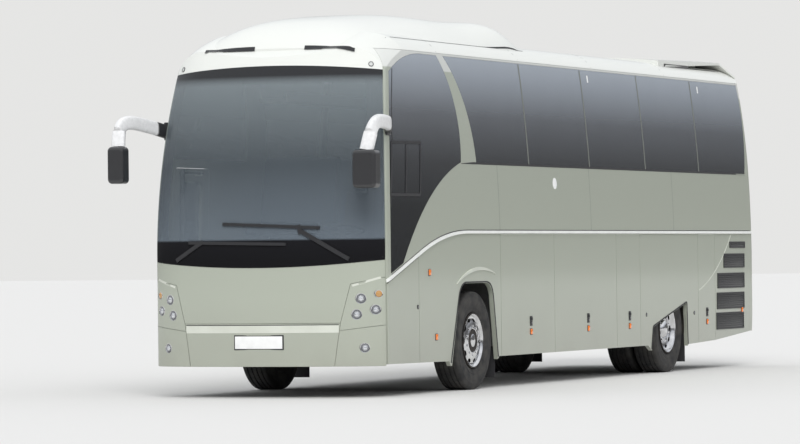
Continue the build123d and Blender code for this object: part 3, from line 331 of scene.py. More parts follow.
def mottled(mat, shader, dark, light, scale, detail=6.0):
    """The base colour wanders between two colours."""
    graded(mat, noise_level(mat, scale, detail), ((0.35, dark), (0.65, light)), shader.inputs["Base Color"])


def bend(a, direction, b, steps):
    """Points on the arc that leaves a in a direction and ends at b, in X and Z."""
    way = Vector(direction).normalized()
    across = Vector((-way.z, 0, way.x))
    chord = b - a
    radius = chord.length_squared / (2 * chord.dot(across))
    centre = a + across * radius
    start = math.atan2(a.z - centre.z, a.x - centre.x)
    end = math.atan2(b.z - centre.z, b.x - centre.x)
    sweep = (end - start + math.pi) % (2 * math.pi) - math.pi
    points = []
    for i in range(steps):
        angle = start + sweep * i / (steps - 1)
        points.append(centre + Vector((math.cos(angle), 0, math.sin(angle))) * abs(radius))
    return points


# Near white as painted highlight: the bevel's sky reflection, painted into its colour.
ledge_white, ledge_shader = material("ledge_white", (0.86, 0.87, 0.84), 0.3)
mottled(ledge_white, ledge_shader, (0.82, 0.83, 0.80), (0.88, 0.89, 0.86), 6)
dress(ledge_white, "ledges")
black, black_shader = material("black_trim", (0.022, 0.022, 0.024), 0.35)
bumped(black, black_shader, 400, 0.0002)
climb = line(ledge_start, ledge_knee, 8)[:-1]
curve = bend(ledge_knee, ledge_knee - ledge_start, ledge_level, 20)[:-1]
ledge_path = climb + curve + line(ledge_level, ledge_end, 30)
for title, side, wall_node, front, back in (("left", 1, "side_wall_left", 0.30, 11.90),
                                            ("right_front", -1, "side_wall_right", 1.52, 6.88),
                                            ("right_back", -1, "side_wall_right", 7.84, 11.90)):
    points = [Vector((p.x, side * flank, p.z + joint_over)) for p in ledge_path if st(back) < p.x < st(front)]
    ribbon("ledge_joint_" + title, [wall_node], points, 0.010, 0.001, black, (0, -side, 0))

# Side glazing: dark tinted double panes, bonded flush over the frame, with a sealed joint between each two.
# The glass is not quite flat, and its colour is painted lighter towards its top, a painted sky reflection; a
# rubber seals it along the belt.

window_joints = (4.350, 6.245, 8.120, 10.035)
joint_heights = (2.385, 3.470)
belt_ends = (2.39, 11.79)
belt_z = 2.372
# Dark glass tint at the bottom, turning lighter upwards: the lighter part is painted sky reflection.
glass_tint_and_painted_sky_stops = ((0.0, (0.020, 0.022, 0.024)),
              (0.30, (0.045, 0.048, 0.052)),
              (0.62, (0.12, 0.13, 0.145)),
              (0.85, (0.27, 0.30, 0.34)),
              (1.0, (0.37, 0.41, 0.46)))
tint, tint_shader = material("tinted_glass", (0.012, 0.014, 0.015), 0.02)
tint_shader.inputs["IOR"].default_value = 2.1
tint_shader.inputs["Alpha"].default_value = 0.88
bumped(tint, tint_shader, 1.6, 0.004, 1)
# The base colour follows height: painted sky reflection, lighter towards the top.
painted_sky_level = ranged(tint, axis_place(tint, "Z"), 1.90, 3.45)
graded(tint, painted_sky_level, glass_tint_and_painted_sky_stops, tint_shader.inputs["Base Color"])
dress(tint, "side_glass_left", "side_glass_right", "rear_window", "door_glass_front", "door_glass_middle")
rubber, rubber_shader = material("seal_rubber", (0.03, 0.03, 0.032), 0.7)
bumped(rubber, rubber_shader, 300, 0.0003)
for word, side in sides:
    y = side * flank
    glass_nodes = ["side_glass_" + word, "side_wall_" + word]
    for number, back in enumerate(window_joints):
        points = line((st(back), y, joint_heights[0]), (st(back), y, joint_heights[1]), 8)
        ribbon(f"window_joint_{number}_{word}", glass_nodes, points, 0.030, 0.0012, joint_grey, (0, -side, 0))
    points = line((st(belt_ends[0]), y, belt_z), (st(belt_ends[1]), y, belt_z), 24)
    ribbon(f"belt_seal_{word}", glass_nodes, points, 0.022, 0.0015, rubber, (0, -side, 0))

# The windscreen: one bowed laminated pane, bonded on a printed black border that is broad along the bottom.
# It is faintly blue with a shade band along its top; its colour is painted lighter just above the border, as
# painted light from the dashboard on its inner face, and in a band under the top, as painted sky reflection.

border_end = 0.135        # the border's top, as a share of the pane's height
# The bottom stops are the printed border and the top stop is the shade band; the light stop just above the
# border and the light band near the top are painted light.
screen_border_and_painted_light_stops = ((0.0, (0.008, 0.008, 0.009)),
                (border_end, (0.010, 0.010, 0.012)),
                (border_end + 0.01, (0.20, 0.24, 0.28)),
                (0.50, (0.12, 0.145, 0.165)),
                (0.84, (0.24, 0.28, 0.30)),
                (0.90, (0.26, 0.30, 0.32)),
                (0.945, (0.012, 0.013, 0.015)))
screen_density = ((0.0, 1), (border_end, 1), (border_end + 0.01, 0.46), (0.55, 0.32), (0.90, 0.46),
                  (0.945, 0.95))
clear, clear_shader = material("screen_glass", (0.10, 0.12, 0.14), 0.015)
clear_shader.inputs["IOR"].default_value = 1.5
screen_level = ranged(clear, axis_place(clear, "Z"), 1.30, 3.35)
graded(clear, screen_level, screen_border_and_painted_light_stops, clear_shader.inputs["Base Color"])
graded(clear, screen_level, [(share, (much, much, much)) for share, much in screen_density],
       clear_shader.inputs["Alpha"])
dress(clear, "windscreen")
dress(black, "screen_frame")

# The driver's sliding window: a blacked aluminium frame with a stile, let into the quarter glass.
# The quarter glass is edged with rubber along its front.

slide_corners = ((0.455, 2.023), (1.221, 2.026), (1.318, 2.560), (0.557, 2.552))
stile_ends = ((0.84, 2.03), (0.935, 2.555))
edge_corners = ((0.785, 3.30), (0.672, 2.98), (0.445, 1.90))


def left_line(a, b, steps):
    """Points on the left side between two places, each a station and a height."""
    return line((st(a[0]), flank, a[1]), (st(b[0]), flank, b[1]), steps)


for number, (a, b) in enumerate(zip(slide_corners, slide_corners[1:] + slide_corners[:1])):
    ribbon(f"slide_frame_{number}", ["side_glass_left", "side_wall_left", "brow_frame"], left_line(a, b, 8),
           0.030, 0.005, black, (0, -1, 0))
ribbon("slide_stile", ["side_glass_left"], left_line(*stile_ends, 8), 0.022, 0.006, black, (0, -1, 0))
ribbon("quarter_edge", ["side_glass_left", "side_wall_left"],
       left_line(*edge_corners[:2], 4)[:-1] + left_line(*edge_corners[1:], 14), 0.018, 0.0012, rubber,
       (0, -1, 0))

# Tyres: steel-belted radials for long distances, seated on the rims of the wheels.
# The tread has four straight grooves, the shoulders are rounded and the sidewalls carry low ribs.

axle_front = st(2.700)
axle_rear = st(8.900)
tyre_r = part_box("tyre_front_left")[1].z / 2
front_out = 1.100         # from the coach's middle to the middle of each tyre
rear_out = 1.086
rear_in = 0.756
tyres = (("front_tyre", "wheel_front", axle_front, front_out, "tyre_front"),
         ("rear_tyre_outer", "wheels_rear", axle_rear, rear_out, "tyre_rear"),
         ("rear_tyre_inner", "wheels_rear", axle_rear, rear_in, None))
bead_r = 0.293
bead_half = 0.112
sidewall = ((bead_r, bead_half), (0.302, 0.124), (0.325, 0.131), (0.345, 0.137), (0.350, 0.1395),
            (0.354, 0.137), (0.39, 0.1445), (0.42, 0.146), (0.452, 0.1445), (0.458, 0.1455), (0.464, 0.143),
            (0.480, 0.138))
shoulder = ((tyre_r - 0.012, 0.131), (tyre_r - 0.004, 0.124), (tyre_r - 0.0005, 0.114))
groove_places = (0.078, 0.027, -0.027, -0.078)
groove_depth = 0.014


def bm_piece(name, bm, mat, body=BODY, smooth=True, sharp=None):
    """A mesh object from a bmesh, with its edges sharp over an angle in degrees."""
    data = bpy.data.meshes.new(name)
    bm.to_mesh(data)
    bm.free()
    data.materials.append(mat)
    if smooth:
        data.shade_smooth()
    if sharp:
        data.set_sharp_from_angle(angle=math.radians(sharp))
    return link(name, data, body)


def lathed(profile, origin, axis, across, turns):
    """A bmesh turned about an axis from the across direction on; profile is (radius, outward)."""
    other = axis.cross(across)
    bm = bmesh.new()
    rings = []
    for i in range(turns):
        a = 2 * math.pi * i / turns
        spoke = across * math.cos(a) + other * math.sin(a)
        rings.append([bm.verts.new(origin + spoke * r + axis * out) for r, out in profile])
    for one, two in zip(rings, rings[1:] + rings[:1]):
        for j in range(len(profile) - 1):
            bm.faces.new((one[j], one[j + 1], two[j + 1], two[j]))
    bmesh.ops.remove_doubles(bm, verts=bm.verts, dist=0.00005)
    bmesh.ops.recalc_face_normals(bm, faces=bm.faces)
    return bm


def spun(name, profile, mat, centre, side, body, turns=96, sharp=None):
    """A surface of revolution about a wheel's axle: profile is (radius, outward) from inside to outside."""
    bm = lathed(profile, Vector(centre), Vector((0, side, 0)), Vector((0, 0, 1)), turns)
    return bm_piece(name, bm, mat, body, sharp=sharp)


tread_mat, tread_shader = material("tyre_rubber", (0.028, 0.028, 0.029), 0.85)
mottled(tread_mat, tread_shader, (0.022, 0.022, 0.023), (0.055, 0.052, 0.048), 9)
bumped(tread_mat, tread_shader, 220, 0.0012)
outer_side = list(sidewall + shoulder)
tread = []
for y in groove_places:
    tread += [(tyre_r, y + 0.007), (tyre_r - groove_depth, y + 0.004)]
    tread += [(tyre_r - groove_depth, y - 0.004), (tyre_r, y - 0.007)]
inner_side = [(r, -y) for r, y in outer_side[::-1]]
tyre_profile = outer_side + tread + inner_side + [(bead_r, -bead_half), (bead_r, bead_half)]
for word, side in sides:
    for title, body, x, out, replaced in tyres:
        tyre = spun(f"{title}_{word}", tyre_profile, tread_mat, (x, side * out, tyre_r), side,
                    f"{body}_{word}", 120, sharp=35)
        if replaced:
            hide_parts(f"{replaced}_{word}")

# Wheels: dark steel discs, each under a cover pressed from polished stainless sheet, clipped over the nuts.
# A cover has ten oval hand holes, a raised ring and a domed hub cap; the rear ones are dished inwards.

nut_circle_r = 0.150
hole_circle_r = 0.218
hole_count = 10
hole_size = (0.036, 0.12, 0.019)
nut_count = 10
chrome, chrome_shader = material("polished_cover", (0.72, 0.72, 0.73), 0.14, 1.0)
mottled(chrome, chrome_shader, (0.62, 0.62, 0.63), (0.80, 0.80, 0.81), 14)
dark_iron, dark_shader = material("dark_iron", (0.035, 0.034, 0.033), 0.7, 0.4)
mottled(dark_iron, dark_shader, (0.02, 0.02, 0.02), (0.06, 0.05, 0.045), 20)


def shaped_by(piece):
    """A piece's mesh as its modifiers leave it takes the place of its first mesh."""
    shaped = bpy.data.meshes.new_from_object(piece.evaluated_get(bpy.context.evaluated_depsgraph_get()))
    piece.modifiers.clear()
    first = piece.data
    piece.data = shaped
    bpy.data.meshes.remove(first)
    return shaped


def cover(name, centre, side, body, dish):
    """A wheel cover with its hand holes cut."""
    cap_top = 0.133 - dish * 0.35
    rings = [(0.276, 0.118), (0.283, 0.128), (0.276, 0.134), (0.262, 0.128), (0.252, 0.112 - dish * 0.2),
             (0.235, 0.108 - dish * 0.5), (0.200, 0.116 - dish * 0.8), (0.165, 0.122 - dish),
             (0.140, 0.124 - dish), (0.132, 0.128 - dish), (0.124, 0.127 - dish), (0.112, 0.122 - dish),
             (0.104, cap_top - 0.024), (0.085, cap_top - 0.008), (0.05, cap_top), (0.0002, cap_top + 0.003)]
    piece = spun(name, rings, chrome, centre, side, body, 120)
    cutters = bmesh.new()
    for i in range(hole_count):
        a = 2 * math.pi * (i + 0.5) / hole_count
        hole = bmesh.ops.create_uvsphere(cutters, u_segments=24, v_segments=12, radius=1.0)
        spoke = Vector((hole_circle_r * math.sin(a), side * 0.10, hole_circle_r * math.cos(a)))
        placed = Matrix.Translation(Vector(centre) + spoke) @ Matrix.Rotation(a, 4, "Y")
        bmesh.ops.transform(cutters, matrix=placed @ Matrix.Diagonal((*hole_size, 1)), verts=hole["verts"])
    data = bpy.data.meshes.new(name + "_cut")
    cutters.to_mesh(data)
    cutters.free()
    tool = bpy.data.objects.new(name + "_cut", data)
    bpy.context.collection.objects.link(tool)
    sheet = piece.modifiers.new("sheet", "SOLIDIFY")
    sheet.thickness = 0.003
    cut = piece.modifiers.new("holes", "BOOLEAN")
    cut.object = tool
    cut.solver = "EXACT"
    shaped_by(piece).set_sharp_from_angle(angle=math.radians(40))
    bpy.data.objects.remove(tool)


def nuts(name, centre, side, body, out):
    """The wheel nuts on their circle."""
    bm = bmesh.new()
    for i in range(nut_count):
        a = 2 * math.pi * i / nut_count
        made = bmesh.ops.create_cone(bm, cap_ends=True, segments=6, radius1=0.017, radius2=0.014, depth=0.028)
        spoke = Vector((nut_circle_r * math.sin(a), side * out, nut_circle_r * math.cos(a)))
        bmesh.ops.transform(bm, matrix=Matrix.Translation(Vector(centre) + spoke)
                            @ Matrix.Rotation(-side * math.pi / 2, 4, "X"), verts=made["verts"])
    bm_piece(name, bm, chrome, body, smooth=False)


for word, side in sides:
    front_hub = (axle_front, side * front_out, tyre_r)
    rear_hub = (axle_rear, side * rear_out, tyre_r)
    cover(f"front_cover_{word}", front_hub, side, f"wheel_front_{word}", 0.0)
    nuts(f"front_nuts_{word}", front_hub, side, f"wheel_front_{word}", 0.118)
    cover(f"rear_cover_{word}", rear_hub, side, f"wheels_rear_{word}", 0.045)
    nuts(f"rear_nuts_{word}", rear_hub, side, f"wheels_rear_{word}", 0.085)
    dress(dark_iron, f"wheel_front_{word}", f"wheel_rear_{word}")

# Flap handles: black moulded pulls in shallow trays, riveted to the flaps, one on each.
# A small round lock of bright metal lies below each pull.

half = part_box("side_wall_left")[1].y
handle_z = 0.690
pull_z = 0.712
lock_z = 0.668
handles = (("a", 4.280, 1, "bay_flap_left_1"), ("b", 6.060, 1, "bay_flap_left_2"),
           ("c", 7.430, 1, "bay_flap_left_3"), ("d", 10.190, 1, "rear_flap_left"),
           ("e", 4.280, -1, "bay_flap_right_1"), ("f", 6.060, -1, "bay_flap_right_2"),
           ("g", 10.190, -1, "rear_flap_right"))
lock_metal, lock_shader = material("lock_metal", (0.35, 0.35, 0.36), 0.35, 1.0)
bumped(lock_metal, lock_shader, 300, 0.0002)


def slab(bm, centre, size, bevel):
    """A rounded block added to a bmesh."""
    made = bmesh.ops.create_cube(bm, size=1)
    bmesh.ops.transform(bm, matrix=Matrix.Translation(Vector(centre)) @ Matrix.Diagonal((*size, 1)),
                        verts=made["verts"])
    edges = list({e for v in made["verts"] for e in v.link_edges})
    bmesh.ops.bevel(bm, geom=edges, offset=bevel, segments=3, affect="EDGES", profile=0.5)


def block(name, blocks, mat, body=BODY):
    """A piece made of rounded blocks, each given by its centre, size and bevel."""
    bm = bmesh.new()
    for centre, size, bevel in blocks:
        slab(bm, centre, size, bevel)
    bm_piece(name, bm, mat, body)


for title, back, side, body in handles:
    x, y = st(back), side * half
    block(f"handle_{title}_tray", [((x, y, handle_z), (0.074, 0.008, 0.108), 0.0035)], black, body)
    pull = ((x, y + side * 0.007, pull_z), (0.050, 0.012, 0.032), 0.004)
    lock_plate = ((x, y + side * 0.004, lock_z), (0.050, 0.006, 0.034), 0.002)
    block(f"handle_{title}_pull", [pull, lock_plate], rubber, body)
    lock = bmesh.new()
    bmesh.ops.create_cone(lock, cap_ends=True, segments=24, radius1=0.010, radius2=0.009, depth=0.006)
    bmesh.ops.transform(lock, matrix=Matrix.Translation((x, y + side * 0.009, lock_z))
                        @ Matrix.Rotation(-side * math.pi / 2, 4, "X"), verts=lock.verts)
    bm_piece(f"handle_{title}_lock", lock, lock_metal, body)

# Round locks: turned metal cores in black rims, pressed into the service flap and the fixed panels.
# They are opened with a square key.

round_locks = (("service", 1.098, 0.890, 1, "service_flap"), ("arch", 8.005, 0.693, 1, BODY),
               ("tail", 9.710, 0.687, 1, BODY), ("arch_r", 8.005, 0.693, -1, BODY),
               ("tail_r", 9.710, 0.687, -1, BODY))
lock_parts = (("rim", 0.024, 0.004, 0, black), ("core", 0.012, 0.003, 0.003, lock_metal))
for title, back, z, side, body in round_locks:
    for part, radius, depth, out, mat in lock_parts:
        button = ((radius, -0.002), (radius, depth - 0.002), (radius - 0.002, depth), (0.0002, depth))
        spun(f"lock_{part}_{title}", button, mat, (st(back), side * (half + out), z), side, body, 32)

# Side markers: small amber plastic lenses clipped on black bases, under the handles and near the corners.
# The right side has none where its doors are.

marker_z = 0.575
markers = (("a", 4.280, marker_z, "bay_flap_left_1"), ("b", 6.060, marker_z, "bay_flap_left_2"),
           ("c", 7.430, marker_z, "bay_flap_left_3"), ("d", 10.190, marker_z, "rear_flap_left"),
           ("e", 1.583, marker_z, BODY), ("f", 1.416, 1.237, BODY), ("g", 11.525, 0.697, BODY))
only_left = ("c", "f")


def glossy_lens(name, colour, rough, scale=240, painted_glow=None, strength=0.0):
    """Clear-coated lens plastic, moulded with fine ribs; painted_glow is an emitted colour, painted light
    that stands in for light caught inside the lens.
    """
    mat, shader = material(name, colour, rough)
    shader.inputs["Coat Weight"].default_value = 1.0
    if painted_glow:
        shader.inputs["Emission Color"].default_value = (*painted_glow, 1)
        shader.inputs["Emission Strength"].default_value = strength
    bumped(mat, shader, scale, 0.0008)
    return mat, shader


# The amber lenses emit a faint painted light, as if lit from inside.
amber, _ = glossy_lens("amber_lens", (0.80, 0.19, 0.015), 0.18, painted_glow=(0.9, 0.22, 0.02), strength=0.12)
for word, side in sides:
    for title, back, z, left_body in markers:
        if side < 0 and title in only_left:
            continue
        body = left_body.replace("left", word)
        x, y = st(back), side * half
        block(f"marker_base_{title}_{word}", [((x, y, z), (0.062, 0.008, 0.072), 0.003)], black, body)
        block(f"marker_lens_{title}_{word}", [((x, y + side * 0.006, z), (0.052, 0.014, 0.060), 0.006)],
              amber, body)

# Wheel arches: rubber edging pressed on the sheet's edge all round, and a moulded flare over the front wheel.
# The flare is lacquered with the body, and painted lighter as a painted highlight where it catches the light
# along its top.

front_arch = ((1.974, 0.300), (2.258, 1.127), (3.150, 1.127), (3.300, 0.330))
rear_arch = ((8.165, 0.290), (8.231, 0.556), (9.440, 0.826), (9.470, 0.320))
flare_arc = ((2.145, 1.112), (2.806, 1.267), (3.233, 1.206))
flare_steps = 20


def side_band(name, path, wides, side, lift, mat):
    """A raised strip along stations and heights on the flat part of a side; wides has its width at each."""
    bm = bmesh.new()
    rows = []
    for i, (back, z) in enumerate(path):
        before, after = path[max(i - 1, 0)], path[min(i + 1, len(path) - 1)]
        run = Vector((before[0] - after[0], 0, after[1] - before[1])).normalized()
        over = Vector((-run.z, 0, run.x)) * wides[i] / 2
        spot = Vector((st(back), 0, z))
        section = ((spot - over, -0.004), (spot - over * 0.85, lift), (spot + over * 0.85, lift),
                   (spot + over, -0.004))
        rows.append([bm.verts.new((p.x, side * (half + out), p.z)) for p, out in section])
    for one, two in zip(rows, rows[1:]):
        for j in range(3):
            bm.faces.new((one[j], one[j + 1], two[j + 1], two[j]))
    bm.faces.new(rows[0])
    bm.faces.new(rows[-1])
    bmesh.ops.recalc_face_normals(bm, faces=bm.faces)
    bm_piece(name, bm, mat, smooth=False)


def arc_through(a, b, c, steps):
    """Points on the circle through three points of a side."""
    (ax, az), (bx, bz), (cx, cz) = a, b, c
    d = 2 * (ax * (bz - cz) + bx * (cz - az) + cx * (az - bz))
    aa, bb, cc = ax ** 2 + az ** 2, bx ** 2 + bz ** 2, cx ** 2 + cz ** 2
    x = (aa * (bz - cz) + bb * (cz - az) + cc * (az - bz)) / d
    z = (aa * (cx - bx) + bb * (ax - cx) + cc * (bx - ax)) / d
    radius = math.hypot(ax - x, az - z)
    first, last = math.atan2(az - z, ax - x), math.atan2(cz - z, cx - x)
    sweep = (last - first + math.pi) % (2 * math.pi) - math.pi
    angles = [first + sweep * i / (steps - 1) for i in range(steps)]
    return [(x + radius * math.cos(angle), z + radius * math.sin(angle)) for angle in angles]


def eased(corners, radius):
    """A path through corners with each inner corner rounded."""
    path = [corners[0]]
    for a, b, c in zip(corners, corners[1:], corners[2:]):
        corner = Vector(b)
        one, two = Vector(a) - corner, Vector(c) - corner
        cut = min(radius, one.length * 0.45, two.length * 0.45)
        one, two = one.normalized() * cut, two.normalized() * cut
        for i in range(9):
            t = i / 8
            path.append(tuple(corner + one * (1 - t) ** 2 + two * t ** 2))
    return path + [corners[-1]]


# A lighter copy of the body's lacquer: painted highlight for the flare and the swept crease.
crease_highlight_mat, crease_shader = material("crease_painted_highlight", (0.66, 0.68, 0.60), 0.3, 0.2)
mottled(crease_highlight_mat, crease_shader, (0.60, 0.62, 0.55), (0.70, 0.72, 0.64), 4)
flare = arc_through(*flare_arc, flare_steps + 1)
flare_wides = [0.004 + 0.036 * math.sin(math.pi * i / flare_steps) for i in range(flare_steps + 1)]
for word, side in sides:
    for title, corners, ease in (("front", front_arch, 0.17), ("rear", rear_arch, 0.03)):
        edge = eased(corners, ease)
        side_band(f"{title}_arch_edging_{word}", edge, [0.016] * len(edge), side, 0.005, rubber)
    side_band(f"front_arch_flare_{word}", flare, flare_wides, side, 0.012, crease_highlight_mat)

# Cooling grilles behind the rear wheels: five black moulded louvre panels on each side.
# Each is screwed over an opening in the sheet, with a raised rim and slats that slope outwards.

louvres = (((11.070, 11.650), (1.463, 1.532)),
           ((10.835, 11.625), (1.222, 1.386)),
           ((10.596, 11.615), (0.974, 1.150)),
           ((10.568, 11.605), (0.721, 0.913)),
           ((10.539, 11.575), (0.474, 0.670)))
slat_pitch = 0.024
slat_lean = 0.7
slat_grey, slat_shader = material("louvre_plastic", (0.045, 0.046, 0.046), 0.55)
bumped(slat_grey, slat_shader, 260, 0.0003)


def slat(bm, spot, lean, axis, size):
    """A thin leaning bar added to a bmesh."""
    made = bmesh.ops.create_cube(bm, size=1)
    bmesh.ops.transform(bm, verts=made["verts"], matrix=Matrix.Translation(spot)
                        @ Matrix.Rotation(lean, 4, axis) @ Matrix.Diagonal((*size, 1)))


for word, side in sides:
    for number, ((back_a, back_b), (low, high)) in enumerate(louvres):
        x, y = st((back_a + back_b) / 2), side * half
        wide, tall = back_b - back_a, high - low
        back_plate = ((x, y, (low + high) / 2), (wide, 0.006, tall), 0.0025)
        block(f"louvre_back_{number}_{word}", [back_plate], black)
        slats = bmesh.new()
        count = round(tall / slat_pitch)
        for i in range(count):
            slat(slats, (x, y + side * 0.006, low + tall * (i + 0.5) / count), -side * slat_lean, "X",
                 (wide - 0.02, 0.016, 0.003))
        bm_piece(f"louvre_slats_{number}_{word}", slats, slat_grey, smooth=False)
        corners = ((back_a, low), (back_b, low), (back_b, high), (back_a, high), (back_a, low))
        for edge, ends in enumerate(zip(corners, corners[1:])):
            side_band(f"louvre_rim_{number}_{edge}_{word}", ends, (0.012, 0.012), side, 0.008, black)

# The swept crease between the rear arch and the grilles: a step pressed in the sheet.
# It is lacquered with the body, and painted lighter as a painted highlight where the step catches the light.

crease = arc_through((9.894, 0.957), (10.697, 1.289), (11.135, 1.630), 16)
for word, side in sides:
    side_band(f"crease_low_{word}", crease, [0.014] * len(crease), side, 0.003, crease_highlight_mat)

# Stickers: a round blank white one on the panel under the second window, and two small tags on the panes.
# They are printed vinyl, pressed on the lacquer and the glass.

sticker_place = (st(5.105), flank + 0.2, 2.185)
tags = ((1, 6.476, 3.340, 3.420), (2, 10.306, 3.335, 3.415))
sticker, sticker_shader = material("white_sticker", (0.86, 0.86, 0.85), 0.5)
mottled(sticker, sticker_shader, (0.82, 0.82, 0.81), (0.88, 0.88, 0.87), 12)


def turned(name, profile, mat, origin, axis, turns=48):
    """A small turned piece on the coach's body, standing at origin along an axis."""
    axis = Vector(axis).normalized()
    bm = lathed(profile, Vector(origin), axis, axis.orthogonal().normalized(), turns)
    bm_piece(name, bm, mat, sharp=40)


turned("side_sticker", [(0.062, 0.0), (0.062, 0.0012), (0.0002, 0.0014)], sticker,
       *cast(["side_wall_left"], sticker_place, (0, -1, 0)))
for number, back, low, high in tags:
    ribbon(f"glass_tag_{number}", ["side_glass_left"], left_line((back, low), (back, high), 3), 0.040, 0.0015,
           sticker, (0, -1, 0))

# Headlamps: four round units and a fog lamp a side, set in the corner panels behind clear domed lenses.
# Each has a bright bezel, a bowl in black as painted shade inside the lamp, a polished ring and an eye; the
# small one is an orange turn signal.

lamps = ((1.052, 0.991, 0.052, "beam"), (1.205, 1.035, 0.038, "turn"), (1.012, 0.833, 0.052, "beam"),
         (1.180, 0.879, 0.050, "beam"), (1.083, 0.500, 0.048, "fog"))
front_nodes = ["headlamps", "bumper", "front_panel", "corner_panels"]
reflector, reflector_shader = material("lamp_reflector", (0.85, 0.86, 0.88), 0.12, 1.0)
bumped(reflector, reflector_shader, 60, 0.002)
lens, lens_shader = glossy_lens("lamp_lens", (0.75, 0.78, 0.82), 0.04, 90)
lens_shader.inputs["Alpha"].default_value = 0.18
turn_lens, _ = glossy_lens("turn_lens", (0.50, 0.27, 0.09), 0.12)
dress(reflector, "headlamps")
for word, side in sides:
    for number, (y, z, r, kind) in enumerate(lamps):
        bezel = [(r + 0.008, -0.002), (r + 0.008, 0.003), (r + 0.003, 0.007), (r - 0.004, 0.006),
                 (r - 0.007, 0.001)]
        signal = [(r - 0.003, 0.001), (r - 0.006, 0.006), (r * 0.6, 0.010), (0.0002, 0.012)]
        bowl = [(r * 0.90, 0.0006), (r * 0.86, 0.0016), (r * 0.60, 0.0016), (0.0002, 0.0016)]
        ring = [(r * 0.60, 0.001), (r * 0.57, 0.006), (r * 0.50, 0.007), (r * 0.46, 0.002)]
        eye = [(r * 0.46, 0.001), (r * 0.40, 0.006), (r * 0.24, 0.009), (0.0002, 0.010)]
        dome = [(r - 0.005, 0.004), (r * 0.7, 0.011), (r * 0.35, 0.015), (0.0002, 0.016)]
        # The bowl is black: painted shade inside the lamp.
        beam = (("shade", bowl, black), ("ring", ring, chrome), ("eye", eye, reflector), ("lens", dome, lens))
        inner = (("lens", signal, turn_lens),) if kind == "turn" else beam
        place, normal = cast(front_nodes, (nose + 1, side * y, z), (-1, 0, 0))
        for part, profile, mat in (("bezel", bezel, chrome), *inner):
            turned(f"lamp_{number}_{word}_{part}", profile, mat, place, normal)

# The bumper: a moulded band bolted under the front panel, with a chamfer and a shadow gap over it.
# The chamfer is painted lighter than the body, a painted highlight, and the lamp panels have the same painted
# highlight along their upper edges.

chamfer_half = 0.84
chamfer_z = 0.690
shadow_z = 0.732
lamp_edge_ends = ((0.975, 1.118), (1.228, 1.198))
# A lighter copy of the body's lacquer: painted highlight along the bumper's chamfer and the lamp panels'
# upper edges.
chamfer, chamfer_shader = material("chamfer_painted_highlight", (0.70, 0.72, 0.64), 0.28, 0.2)
mottled(chamfer, chamfer_shader, (0.66, 0.68, 0.60), (0.73, 0.75, 0.67), 3)
for title, z, wide, lift, mat in (("chamfer", chamfer_z, 0.074, 0.0012, chamfer),
                                  ("shadow", shadow_z, 0.007, 0.0014, rubber)):
    ribbon("bumper_" + title, ["bumper", "front_panel"],
           line((nose, -chamfer_half, z), (nose, chamfer_half, z), 40), wide, lift, mat, (-1, 0, 0))
for word, side in sides:
    (inner_y, inner_z), (outer_y, outer_z) = lamp_edge_ends
    ribbon(f"lamp_panel_edge_{word}", ["corner_panels", "front_panel"],
           line((nose, side * inner_y, inner_z), (nose, side * outer_y, outer_z), 14), 0.022, 0.0012, chamfer,
           (-1, 0, 0))

# The front number plate: blank white sheet in a black plastic frame, screwed on the bumper's middle.
# Both plates are of the long European size.

plate_z = 0.558
frame_size = (0.545, 0.150)
plate_size = (0.520, 0.125)
plate_spot, _ = cast(["bumper"], (nose + 1, 0.26, plate_z), (-1, 0, 0))
for title, thick, size, out, mat in (("plate_frame", 0.014, frame_size, 0.001, black),
                                     ("plate", 0.004, plate_size, 0.0095, sticker)):
    block(title, [((plate_spot.x + out, 0, plate_z), (thick, *size), thick * 0.3)], mat)

# Header slits: air gaps moulded between the brow and the dome, drawn as black strips that are painted shadow
# under the dome's overhang.
# Small round clearance lamps stand outside them, and a rubber seals the dome along each side.

slit_ends = ((-0.76, -0.20), (0.35, 0.88))
slit_x = st(0.455)
slit_z = 3.500
crown_z = 4.2             # over the roof, where strips are laid down from
crown_nodes = ["brow_frame", "dome", "roof"]
clearance_place = (1.041, 3.337)
seam_y = 0.992
seam_ends = (1.0, 4.85)
clearance_rim = [(0.027, -0.002), (0.027, 0.004), (0.021, 0.006)]
clearance_dome = [(0.021, 0.004), (0.014, 0.011), (0.0002, 0.013)]
for number, (a, b) in enumerate(slit_ends):
    points = line((slit_x, a, slit_z), (slit_x, b, slit_z), 24)
    # Black strips: painted shadow in the slits under the dome's overhang.
    ribbon(f"header_slit_painted_shadow_{number}", crown_nodes, points, 0.036, 0.012, black, (-0.7, 0, -0.7))
for word, side in sides:
    place, normal = cast(crown_nodes, (nose + 1, side * clearance_place[0], clearance_place[1]), (-1, 0, 0))
    turned(f"clearance_rim_{word}", clearance_rim, black, place, normal, 24)
    turned(f"clearance_lens_{word}", clearance_dome, lens, place, normal, 24)
    points = line(*[(st(back), side * seam_y, crown_z) for back in seam_ends], 30)
    ribbon(f"dome_seam_{word}", ["roof", "dome"], points, 0.008, 0.0015, rubber, (0, 0, -1))

# Roof joints: the roof is laid in several mouldings, with a sealed joint across it between each two.
# Under the edge of the wing at the tail, a black strip is painted shadow along the slot beneath it.

roof_joints = (2.04, 4.37, 6.67, 9.17)
roof_half = 1.118
slot_ends = ((9.50, 3.652), (11.62, 3.660))
for number, back in enumerate(roof_joints):
    points = line((st(back), -roof_half, crown_z), (st(back), roof_half, crown_z), 40)
    ribbon(f"roof_joint_{number}", ["roof", "side_wall_left", "side_wall_right"], points, 0.009, 0.0012,
           joint_grey, (0, 0, -1))
# Black strip: painted shadow under the wing's edge.
ribbon("wing_slot_painted_shadow", ["wing", "roof"], left_line(*slot_ends, 30), 0.036, 0.003, black, (0, -1, 0))

# Mirror arms: curved glass-fibre mouldings over a steel tube, bolted through a black pad on the front corner.
# They are white over their length and black at the root.

